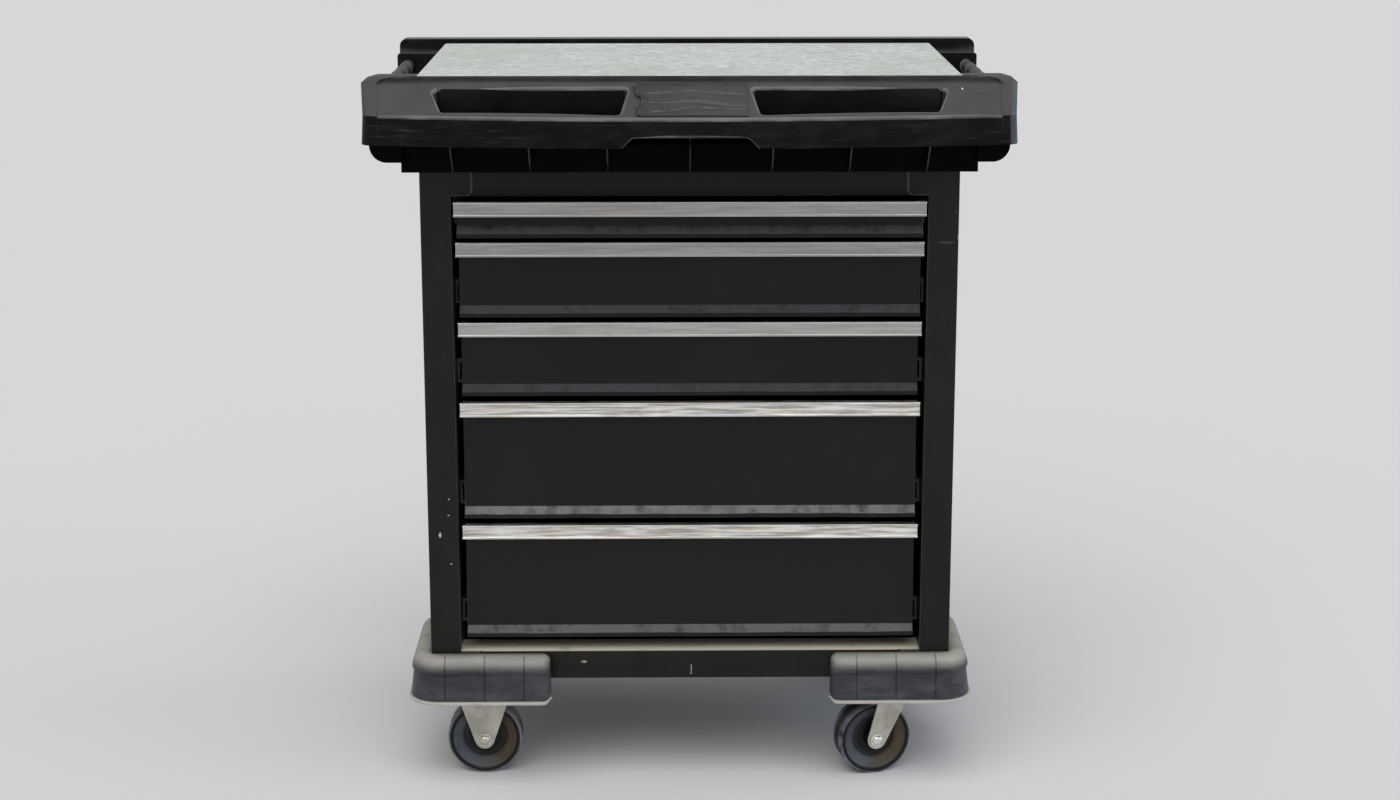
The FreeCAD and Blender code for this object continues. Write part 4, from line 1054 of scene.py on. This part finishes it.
@dataclass
class Drawers(Assembly):
    """Five drawers: fronts with their pulls, trays and slides."""

    count: int = 5
    # Colours of each drawer's foot band: dust, and a painted highlight on the sloped foot.
    high_dust_and_sheen: Colour = (0.057, 0.058, 0.064)
    low_dust_and_sheen: Colour = (0.220, 0.220, 0.212)
    lowest_dust_and_sheen: Colour = (0.138, 0.138, 0.135)
    # Drawer 1's base colour, and the step lighter that each lower drawer is painted: painted light.
    darkest: Colour = (0.0036, 0.0038, 0.0024)
    painted_light_step: float = 0.0015

    @staticmethod
    def pull_finish(number: int) -> Brushed:
        """How worn the pull of one drawer is.

        Args:
            number: The drawer, from 1 at the top.

        Returns:
            Its finish.
        """
        name = f"pull {number} aluminium"
        if number <= 2:
            return Brushed(name, colour=(0.300, 0.300, 0.300), rubbed=(0.445, 0.445, 0.440), seed=number)
        if number == 3:
            return Brushed(name, colour=(0.400, 0.392, 0.370), rubbed=(0.590, 0.580, 0.552), seed=3.0)
        return Brushed(
            name,
            colour=(0.38, 0.36, 0.31),
            rubbed=(0.98, 0.97, 0.93),
            rubbing=0.95,
            staining=0.6,
            tints=((0.86, 0.70, 0.34), (0.42, 0.52, 0.68), (0.84, 0.60, 0.54)),
            seed=float(number),
        )

    def dust(self, number: int) -> Colour:
        """Colour of the dust and painted highlight on one drawer's foot, from 1 at the top."""
        if number <= 3:
            return self.high_dust_and_sheen
        return self.low_dust_and_sheen if number == 4 else self.lowest_dust_and_sheen

    def front_finish(self, number: int) -> Enamel:
        """Enamel of one drawer's front, from 1 at the top: paler foot dust and painted highlight on the lower
        drawers, and a base colour painted a step lighter on each lower drawer as painted light.
        """
        # Each lower drawer's base colour is painted a step lighter: painted light.
        red, green, blue = (part + self.painted_light_step * (number - 1) for part in self.darkest)
        return Enamel(
            f"drawer {number} enamel",
            colour=(red, green, blue),
            dust=self.dust(number),
            haze=0.3,
            dustiness=0.85,
            dust_slope=(0.3, 0.6),
            seed=5.1 + number,
        )

    def fold_finish(self, number: int) -> Enamel:
        """Enamel on the folds of one drawer's front, in its foot's colour: dust and a painted highlight."""
        dust = self.dust(number)
        return Enamel(
            f"drawer {number} fold dust and painted highlight", colour=(0.020, 0.020, 0.021), hazed=dust, haze=1.0, dust=dust
        )

    def dress(self) -> None:
        """Finishes the drawers."""
        # The pulls' rounded beads are painted far paler than their faces: a painted highlight.
        bead_highlight = Brushed(
            "pull bead painted highlight aluminium", colour=(0.74, 0.74, 0.72), rubbed=(0.92, 0.92, 0.90), roughness=0.24
        )
        for number in range(1, self.count + 1):
            drawer = f"drawer_{number}"
            self.cad.soften(
                drawer + "_front", Edge.CRISP, self.front_finish(number), self.fold_finish(number)
            )
            self.cad.soften(drawer + "_pull", Edge.BEAD, self.pull_finish(number), bead_highlight)
            self.cad.paint(drawer + "_box", INNER_ENAMEL)
            self.cad.paint(drawer + "_runners", SHADED_SLIDE_PLATE)
            self.cad.paint(drawer + "_middle_slides", SHADED_SLIDE_PLATE)


@dataclass
class Worktop(Assembly):
    """Moulded top with its console, the sheet laid in it, and a strip of wrinkled tape."""

    upright: float = 0.30
    skirt_bottom: float = 0.030
    tray_rise: float = 0.012
    console_reach: float = 0.085
    pocket_inner: float = 0.070
    pocket_outer: float = 0.330
    pocket_floor: float = 0.052
    recess_drop: float = 0.004
    end_start: float = 0.380
    rounded_depth: float = 0.030
    least_fold: float = 28.0
    rib_width: float = 0.004
    tape_columns: int = 150
    tape_rows: int = 56
    tape_lift: float = 0.0006
    end_margin: float = 0.0005
    side_margin: float = 0.0006
    drop: float = 0.05
    tape_thickness: float = 0.0003
    fray: float = 0.012
    front: float = field(init=False)
    body_top: float = field(init=False)

    def __post_init__(self) -> None:
        """Reads where the body's front and top are."""
        low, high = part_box("left_side_panel")
        self.front = low.y
        self.body_top = high.z

    def dress(self) -> None:
        """Finishes the top."""
        node = "worktop_moulding"
        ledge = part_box(node)[1].z - 0.002
        zones = (
            # Upright faces: painted shade.
            (SHADED_SKIRT_PLASTIC, lambda face: abs(face.normal.z) < self.upright),
            # Below the tray: painted shade.
            (SHADED_UNDER_PLASTIC, self.is_under),
            # Pocket linings: painted shade.
            (SHADED_POCKET_PLASTIC, self.in_pocket),
            # Pocket side walls: painted reflection.
            (POCKET_SIDE_REFLECTION, lambda face: abs(face.normal.x) > 0.5 and self.in_pocket(face)),
            # Rib fronts: painted highlight.
            (RIB_HIGHLIGHT, self.is_rib_end),
            # Top of the rear ledge: painted highlight.
            (CONSOLE_EDGE_HIGHLIGHT, lambda face: face.normal.z > 0.9 and face.calc_center_median().z > ledge),
            # Right end: painted reflection.
            (CONSOLE_END_REFLECTION, lambda face: face.normal.x > 0.45 and self.is_end(face)),
        )
        self.cad.soften(
            node, Edge.MOULDED, CONSOLE_PLASTIC, CONSOLE_EDGE_HIGHLIGHT, self.least_fold, zones, self.on_console
        )
        sheet = WornSheet("worktop sheet")
        # The sheet's rounded edges are painted paler: a painted edge highlight.
        sheet_edge_highlight = WornSheet("worktop sheet painted edge highlight", colour=(0.72, 0.74, 0.71), pale=(0.86, 0.87, 0.84))
        self.cad.soften("worktop_plate", Edge.PRESSED, sheet, sheet_edge_highlight)
        self.tape()

    def on_console(self, line: bmesh.types.BMEdge) -> bool:
        """Whether an edge is on the console or its skirt, short of the rounded ends."""
        middle = (line.verts[0].co + line.verts[1].co) / 2
        inside = abs(middle.x) < self.end_start and middle.y < self.front + self.rounded_depth
        return inside and middle.z > self.body_top + self.skirt_bottom + self.tray_rise

    def is_under(self, face: Face) -> bool:
        """Whether a face lies below the tray and behind the skirt, where little light comes."""
        middle = face.calc_center_median()
        low = middle.z - self.body_top < self.skirt_bottom + self.tray_rise
        return low and middle.y > self.front - self.console_reach + 0.010

    def is_end(self, face: Face) -> bool:
        """Whether a face is at an end of the console or its skirt."""
        middle = face.calc_center_median()
        ahead = abs(middle.x) > self.end_start and middle.y < self.front
        return ahead and middle.z > self.body_top + self.skirt_bottom

    def is_rib_end(self, face: Face) -> bool:
        """Whether a face is the narrow front of a rib under the console."""
        across = [vertex.co.x for vertex in face.verts]
        narrow = max(across) - min(across) < self.rib_width
        return narrow and face.normal.y < -0.3 and self.is_under(face)

    def in_pocket(self, face: Face) -> bool:
        """Whether a face lines a pocket."""
        middle = face.calc_center_median()
        normal = face.normal
        if normal.y < -0.5 and middle.y < self.front - self.console_reach * 0.6:
            return False
        apron = normal.z > 0.30 and normal.y < 0.05 and (normal.z < 0.97 or normal.z > 0.9995)
        across = self.pocket_inner < abs(middle.x) < self.pocket_outer
        above = middle.z - self.body_top > self.pocket_floor - self.recess_drop
        ahead = self.front - self.console_reach + 0.004 < middle.y < self.front - 0.004
        return across and above and ahead and not apron

    def wrinkle(self, u: float, v: float) -> float:
        """Height of the tape's wrinkles.

        Args:
            u: Place along the strip, from 0 at its left end to 1.
            v: Place across it, from 0 at the back to 1.

        Returns:
            The height, in metres.
        """
        sway = 0.03 * math.sin(7 * u + 1.0) + 0.05 * noise.noise(Vector((u * 3.0, 4.0, 0.0)))
        folds = ((0.27, 0.020, 0.0024, 0.03), (0.60, 0.026, 0.0030, 0.13), (0.80, 0.018, 0.0022, -0.15))
        height = 0.0
        for place, width, rise, slope in folds:
            away = (v - place - sway - slope * (u - 0.5)) / width
            fade = 0.45 + 0.55 * abs(noise.noise(Vector((u * 4.0, place * 9.0, 2.0))) * 2)
            height += rise * fade * math.exp(-away * away)
        crumple = noise.fractal(Vector((u * 9.0, v * 6.0, 1.0)), 0.8, 2.0, 4)
        left = max(0.0, 1.0 - u / 0.12)
        frill = 0.0038 * left * abs(noise.noise(Vector((u * 26.0, v * 7.0, 5.0))))
        return height + 0.0003 * (crumple + 0.5) + frill

    @staticmethod
    def ragged(v: float) -> float:
        """How far the tape's torn end runs in or out at a place across it."""
        broad = noise.noise(Vector((v * 5.0, 0.3, 8.0)))
        notches = 0.5 * noise.noise(Vector((v * 19.0, 2.0, 3.0)))
        return broad + notches + 0.3 * noise.noise(Vector((v * 47.0, 6.0, 1.0)))

    def tape(self) -> None:
        """Lays the wrinkled tape over the apron."""
        node = "tape_patch"
        low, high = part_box(node)
        ground = self.cad.nodes[node]
        tree = BVHTree.FromPolygons(
            [tuple(vertex.co) for vertex in ground.data.vertices],
            [tuple(polygon.vertices) for polygon in ground.data.polygons],
        )
        work = bmesh.new()
        grid = []
        for row in range(self.tape_rows + 1):
            v = row / self.tape_rows
            line = []
            ragged = self.fray * (0.5 + self.ragged(v))
            for column in range(self.tape_columns + 1):
                u = column / self.tape_columns
                left = low.x + ragged + self.end_margin
                x = left + (high.x - self.end_margin - left) * u
                y = high.y - self.side_margin - (high.y - low.y - 2 * self.side_margin) * v
                hit = tree.ray_cast(Vector((x, y, high.z + self.drop)), Vector((0, 0, -1)))[0]
                z = hit.z if hit is not None else low.z
                rise = self.tape_lift + max(0.0, self.wrinkle(u, v))
                line.append(work.verts.new((x, y - rise * 0.5, z + rise)))
            grid.append(line)
        skin(work, grid, closed=False)
        piece = new_piece("wrinkled_tape", work, fold=75.0)
        solid = piece.modifiers.new("thickness", "SOLIDIFY")
        solid.thickness = self.tape_thickness
        self.cad.seat(piece, [node], [DullTape("dull tape")])


@dataclass
class Handles(Assembly):
    """Side handles: steel bars in wrapped grips."""

    radius: float = 0.0084
    wrap: float = 0.0021
    rim_rise: float = 0.10
    pitch: float = 0.056
    rim_share: float = 0.17
    stations: int = 360
    around: int = 36
    bore: float = 0.0081

    def ring(self, work: Work, middle: Vector, radii: Sequence[float]) -> list[bmesh.types.BMVert]:
        """Adds a ring of points about the Y axis.

        Args:
            work: The mesh that they are added to.
            middle: Middle of the ring.
            radii: Radius at each point.

        Returns:
            The points.
        """
        points = []
        for number, radius in enumerate(radii):
            angle = 2 * math.pi * number / self.around
            points.append(work.verts.new(middle + Vector((math.cos(angle), 0.0, math.sin(angle))) * radius))
        return points

    def phase(self, along: float, number: float) -> float:
        """Place across the wrapped strip, from 0 at its raised rim to 1, by length and step of the turn."""
        return (along / self.pitch + number / self.around) % 1.0

    def outside(self, along: float, number: int, turn: int) -> float:
        """Radius at a length and a step of the turn, for a strip that winds one way (1) or the other (-1)."""
        phase = self.phase(along, turn * number)
        edge = min(phase / self.rim_rise, 1.0)
        sag = 0.0004 * noise.noise(Vector((along * 40, 2 * math.pi * number / self.around, 1.0)))
        return self.radius + self.wrap * edge * (1.0 - 0.75 * phase) + sag

    def grip(self, side: str) -> None:
        """Wraps one grip.

        Args:
            side: "left" or "right".
        """
        node = side + "_handle_grip"
        low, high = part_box(node)
        centre = (low + high) / 2
        length = high.y - low.y
        turn = 1 if side == "right" else -1
        work = bmesh.new()
        rings = []
        for station in range(self.stations + 1):
            along = length * station / self.stations
            radii = [self.outside(along, number, turn) for number in range(self.around)]
            rings.append(self.ring(work, Vector((centre.x, low.y + along, centre.z)), radii))
        for end, ring in ((low.y, rings[0]), (high.y, rings[-1])):
            inner = self.ring(work, Vector((centre.x, end, centre.z)), [self.bore] * self.around)
            skin(work, [ring, inner])
        for station, row in enumerate(skin(work, rings)):
            for number, face in enumerate(row):
                phase = self.phase(length * (station + 0.5) / self.stations, turn * (number + 0.5))
                face.material_index = 1 if phase < self.rim_share else 0
        piece = new_piece(side + "_wrapped_grip", work, fold=50.0)
        self.cad.seat(piece, [node], [GRIP_RUBBER, GRIP_RIM])

    def dress(self) -> None:
        """Finishes both handles."""
        for side in ("left", "right"):
            self.grip(side)
            self.cad.paint(side + "_handle_bar", BAR_PLATE)


@dataclass
class Bumpers(Assembly):
    """Four hollow corner bumpers, with a rounded shoulder over a set-back wall, grooves and a lip."""

    reach: float = 0.027
    draft: float = 0.002
    lip: float = 0.003
    shoulder: Pair = (0.017, 0.019)
    undercut: float = 0.0022
    turn: float = 0.012
    wall: float = 0.0032
    end_round: float = 0.014
    crown_round: float = 0.011
    foot_round: float = 0.0075
    round_steps: int = 8
    turn_steps: int = 12
    groove_half: float = 0.0009
    groove_depth: float = 0.0012
    groove_start: float = 0.0345
    groove_pitch: float = 0.0525
    grooves: int = 3

    def section(self, bottom: float, top: float) -> list[Pair]:
        """Outside of the section, from the body over the shoulder to the lip.

        Args:
            bottom: Height of the lip's lower edge.
            top: Height of the crown.

        Returns:
            Points as (distance out from the body, height).
        """
        wide, deep = self.shoulder
        foot = self.reach + self.draft
        points = [(0.0, top)]
        points += arc((self.reach - wide, top - deep), self.shoulder, 90, 0, 10)
        inset = self.reach - self.undercut
        points += [(self.reach - 0.0003, top - deep - 0.0012), (inset, top - deep - 0.0016)]
        points += [(inset, top - deep - 0.0026), (foot - 0.0006, bottom + 0.0110)]
        points += [(foot - 0.0002, bottom + 0.0048)]
        points += arc((foot + 0.0012, bottom + 0.0022), (0.0018, 0.0022), 90, -80, self.round_steps)
        return points

    def stations(self, straight: float) -> list[tuple[float, float, float]]:
        """Places along the bumper.

        Args:
            straight: Length of each wing, from the body's corner.

        Returns:
            (distance from the near end, turn in degrees, depth of groove) of each place.
        """
        run = straight - self.turn
        bend = math.pi / 2 * (self.turn + self.reach)
        marks = {run: 0.0}
        for number in range(self.round_steps + 1):
            marks[self.end_round * (1 - math.cos(math.pi / 2 * number / self.round_steps))] = 0.0
        for number in range(self.grooves):
            place = self.groove_start + number * self.groove_pitch
            if place < run:
                for offset, depth in ((-1.0, 0.0), (-0.4, 1.0), (0.4, 1.0), (1.0, 0.0)):
                    marks[place + offset * self.groove_half] = depth
        near = sorted(marks.items())
        places = [(place, 0.0, depth) for place, depth in near]
        for number in range(1, self.turn_steps):
            share = number / self.turn_steps
            places.append((run + bend * share, 90.0 * share, 0.0))
        return places + [(2 * run + bend - place, 90.0, depth) for place, depth in reversed(near)]

    @staticmethod
    def rounding(radius: float, from_end: float) -> float:
        """How far a rounded end has drawn in, at a distance from the end."""
        if from_end >= radius:
            return 0.0
        return radius - math.sqrt(max(0.0, radius**2 - (radius - from_end) ** 2))

    def mesh(self, low: Vector, high: Vector, corner: Pair) -> Work:
        """Builds the front right bumper.

        Args:
            low: Lowest corner of its box.
            high: Highest corner of its box.
            corner: Corner of the body that it wraps, as (x, y).

        Returns:
            The mesh, with the lip's faces in the second material.
        """
        section = self.section(low.z, high.z)
        lip_start = len(section) - self.round_steps
        tall = high.z - low.z
        widest = self.reach + self.draft + self.lip
        straight = high.x - low.x - widest
        places = self.stations(straight)
        whole = places[-1][0]
        centre = Vector((corner[0] - self.turn, corner[1] + self.turn, 0.0))
        work = bmesh.new()
        rings = []
        for place, degrees, depth in places:
            from_end = min(place, whole - place)
            wide = (widest - self.rounding(self.end_round, from_end)) / widest
            lift = self.rounding(self.foot_round, from_end)
            height = (tall - lift - self.rounding(self.crown_round, from_end)) / tall
            angle = math.radians(degrees)
            outward = Vector((math.sin(angle), -math.cos(angle), 0.0))
            base = centre + outward * self.turn
            if degrees <= 0.0:
                base.x = corner[0] - straight + place
            elif degrees >= 90.0:
                base.y = corner[1] + straight - (whole - place)
            ring = []
            for number, (out, z) in enumerate(section):
                cut = depth * self.groove_depth if 0 < number < lip_start else 0.0
                sunk = cut if out < self.reach - self.shoulder[0] / 2 else 0.0
                at = base + outward * (out - cut) * wide
                at.z = low.z + lift + (z - sunk - low.z) * height
                ring.append(work.verts.new(at))
            rings.append(ring)
        for row in skin(work, rings, closed=False):
            for number, face in enumerate(row):
                face.material_index = 1 if number >= lip_start - 1 else 0
        for ring in (rings[0], rings[-1]):
            foot = work.verts.new((ring[0].co.x, ring[0].co.y, ring[-1].co.z))
            work.faces.new([*ring, foot])
        return work

    def dress(self) -> None:
        """Makes the four bumpers, each mirrored from the front right one."""
        right_low, right_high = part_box("right_side_panel")
        middle = (right_low.y + right_high.y) / 2
        low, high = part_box("front_right_bumper")
        for end, flip_y in (("front", 1.0), ("rear", -1.0)):
            for side, flip_x in (("left", -1.0), ("right", 1.0)):
                work = self.mesh(low, high, (right_high.x, right_low.y))
                for vertex in work.verts:
                    vertex.co.x *= flip_x
                    vertex.co.y = middle + (vertex.co.y - middle) * flip_y
                piece = new_piece(f"{end}_{side}_corner_bumper", work, fold=38.0)
                solid = piece.modifiers.new("wall", "SOLIDIFY")
                solid.thickness = self.wall
                solid.offset = -1.0
                self.cad.seat(piece, [f"{end}_{side}_bumper"], [BUMPER_PLASTIC, BUMPER_LIP])


@dataclass
class Casters(Assembly):
    """Four casters: pressed forks, dished wheels, domed axle heads with washers, plates and bolts."""

    wheel_half: float = 0.018
    leg_face: float = 0.024
    bore: float = 0.00505
    washer_radius: float = 0.0094
    washer_height: float = 0.0013
    washer_round: float = 0.0004
    washer_slope: float = 0.0003
    wheel_steps: int = 128
    axle_steps: int = 48
    dome_radius: float = 0.0072
    dome_height: float = 0.0048
    shank_radius: float = 0.0048

    def wheel_profile(self, radius: float) -> list[Pair]:
        """Outline of half the wheel's section, from the bore over the near face to the tread.

        Args:
            radius: Radius of the tread.

        Returns:
            Points as (radius, distance from the middle plane).
        """
        half = self.wheel_half
        face = [(self.bore, half + 0.0016), (0.0120, half + 0.0016), (0.0130, half - 0.0002)]
        face += [(0.0150, half - 0.0100), (0.0270, half - 0.0118), (0.0282, half - 0.0105)]
        face += [(0.0300, half - 0.0080), (0.0340, half - 0.0066), (0.0385, half - 0.0046)]
        face += [(0.0425, half - 0.0018), (0.0438, half - 0.0004)]
        face += arc((radius - 0.0030, half - 0.0022), (0.0026, 0.0022), 100, 8, 6)
        face += [(radius, half - 0.0060), (radius, half - 0.0120)]
        return face

    def wheel(self, name: str) -> None:
        """Turns one wheel.

        Args:
            name: Place of the caster, such as "front_left".
        """
        node = name + "_wheel"
        where = self.placed(name)
        radius = where.translation.z
        near = self.wheel_profile(radius)
        profile = near + [(reach, -along) for reach, along in reversed(near)]
        work = bmesh.new()
        lathe(work, profile, self.wheel_steps, where)
        piece = new_piece(name + "_dished_wheel", work, fold=40.0)
        centre = tuple(where.translation)
        self.cad.seat(piece, [node], [WheelSkin(name + " wheel plastic", radius, centre)])

    def placed(self, name: str) -> Matrix:
        """Place of a wheel's axis.

        Args:
            name: Place of the caster.

        Returns:
            A matrix that turns Y to the axle and moves the origin to the wheel's middle.
        """
        joint = self.cad.joints[name + "_roll"]
        axis = Vector(joint["axis"])
        yaw = math.atan2(-axis.x, axis.y)
        return Matrix.Translation(Vector(joint["pos_m"])) @ Matrix.Rotation(yaw, 4, "Z")

    def axle(self, work: Work, where: Matrix) -> None:
        """Adds one axle bolt with a washer and a domed head at each end.

        Args:
            work: The mesh that it is added to.
            where: Place of the wheel's axis.
        """
        face = self.leg_face
        washer = face + self.washer_height
        rim = self.washer_radius
        head = [(self.shank_radius, 0.0), (self.shank_radius, face), (rim - self.washer_round, face)]
        head += [(rim, face + self.washer_round), (rim - self.washer_slope, washer)]
        head += [(self.dome_radius, washer)]
        head += arc((0.0, washer), (self.dome_radius, self.dome_height), 12, 88, 8)
        head += [(0.0, washer + self.dome_height)]
        ends = head + [(reach, -along) for reach, along in reversed(head)]
        lathe(work, ends[1:-1], self.axle_steps, where)

    def dress(self) -> None:
        """Finishes the casters."""
        for end in ("front", "rear"):
            for side in ("left", "right"):
                name = f"{end}_{side}"
                self.wheel(name)
                # The forks' rounded edges take the paler bolt plate: a painted edge highlight.
                self.cad.soften(name + "_fork", Edge.SHEET, CASTER_PLATE, BOLT_PLATE)
            work = bmesh.new()
            self.axle(work, self.placed(end + "_right"))
            piece = new_piece(end + "_right_axle", work, fold=40.0)
            self.cad.seat(piece, [end + "_right_axle_bolt"], [BOLT_PLATE])
        work = bmesh.new()
        for end in ("front", "rear"):
            self.axle(work, self.placed(end + "_left"))
        piece = new_piece("left_axles", work, fold=40.0)
        self.cad.seat(piece, ["left_axle_bolts"], [BOLT_PLATE])
        self.cad.paint("swivel_plates", CASTER_PLATE)
        self.cad.paint("caster_bolts", BOLT_PLATE)


def main() -> None:
    """Builds the studio and every sub-assembly."""
    logging.basicConfig(level=logging.INFO, format="%(message)s")
    cad = Cad(frame)
    Studio().build()
    for kind in (Body, Drawers, Worktop, Handles, Bumpers, Casters):
        kind(cad).dress()
        LOG.info("%s dressed", kind.__name__)
    bpy.context.view_layer.update()


if __name__ == "__main__":
    main()
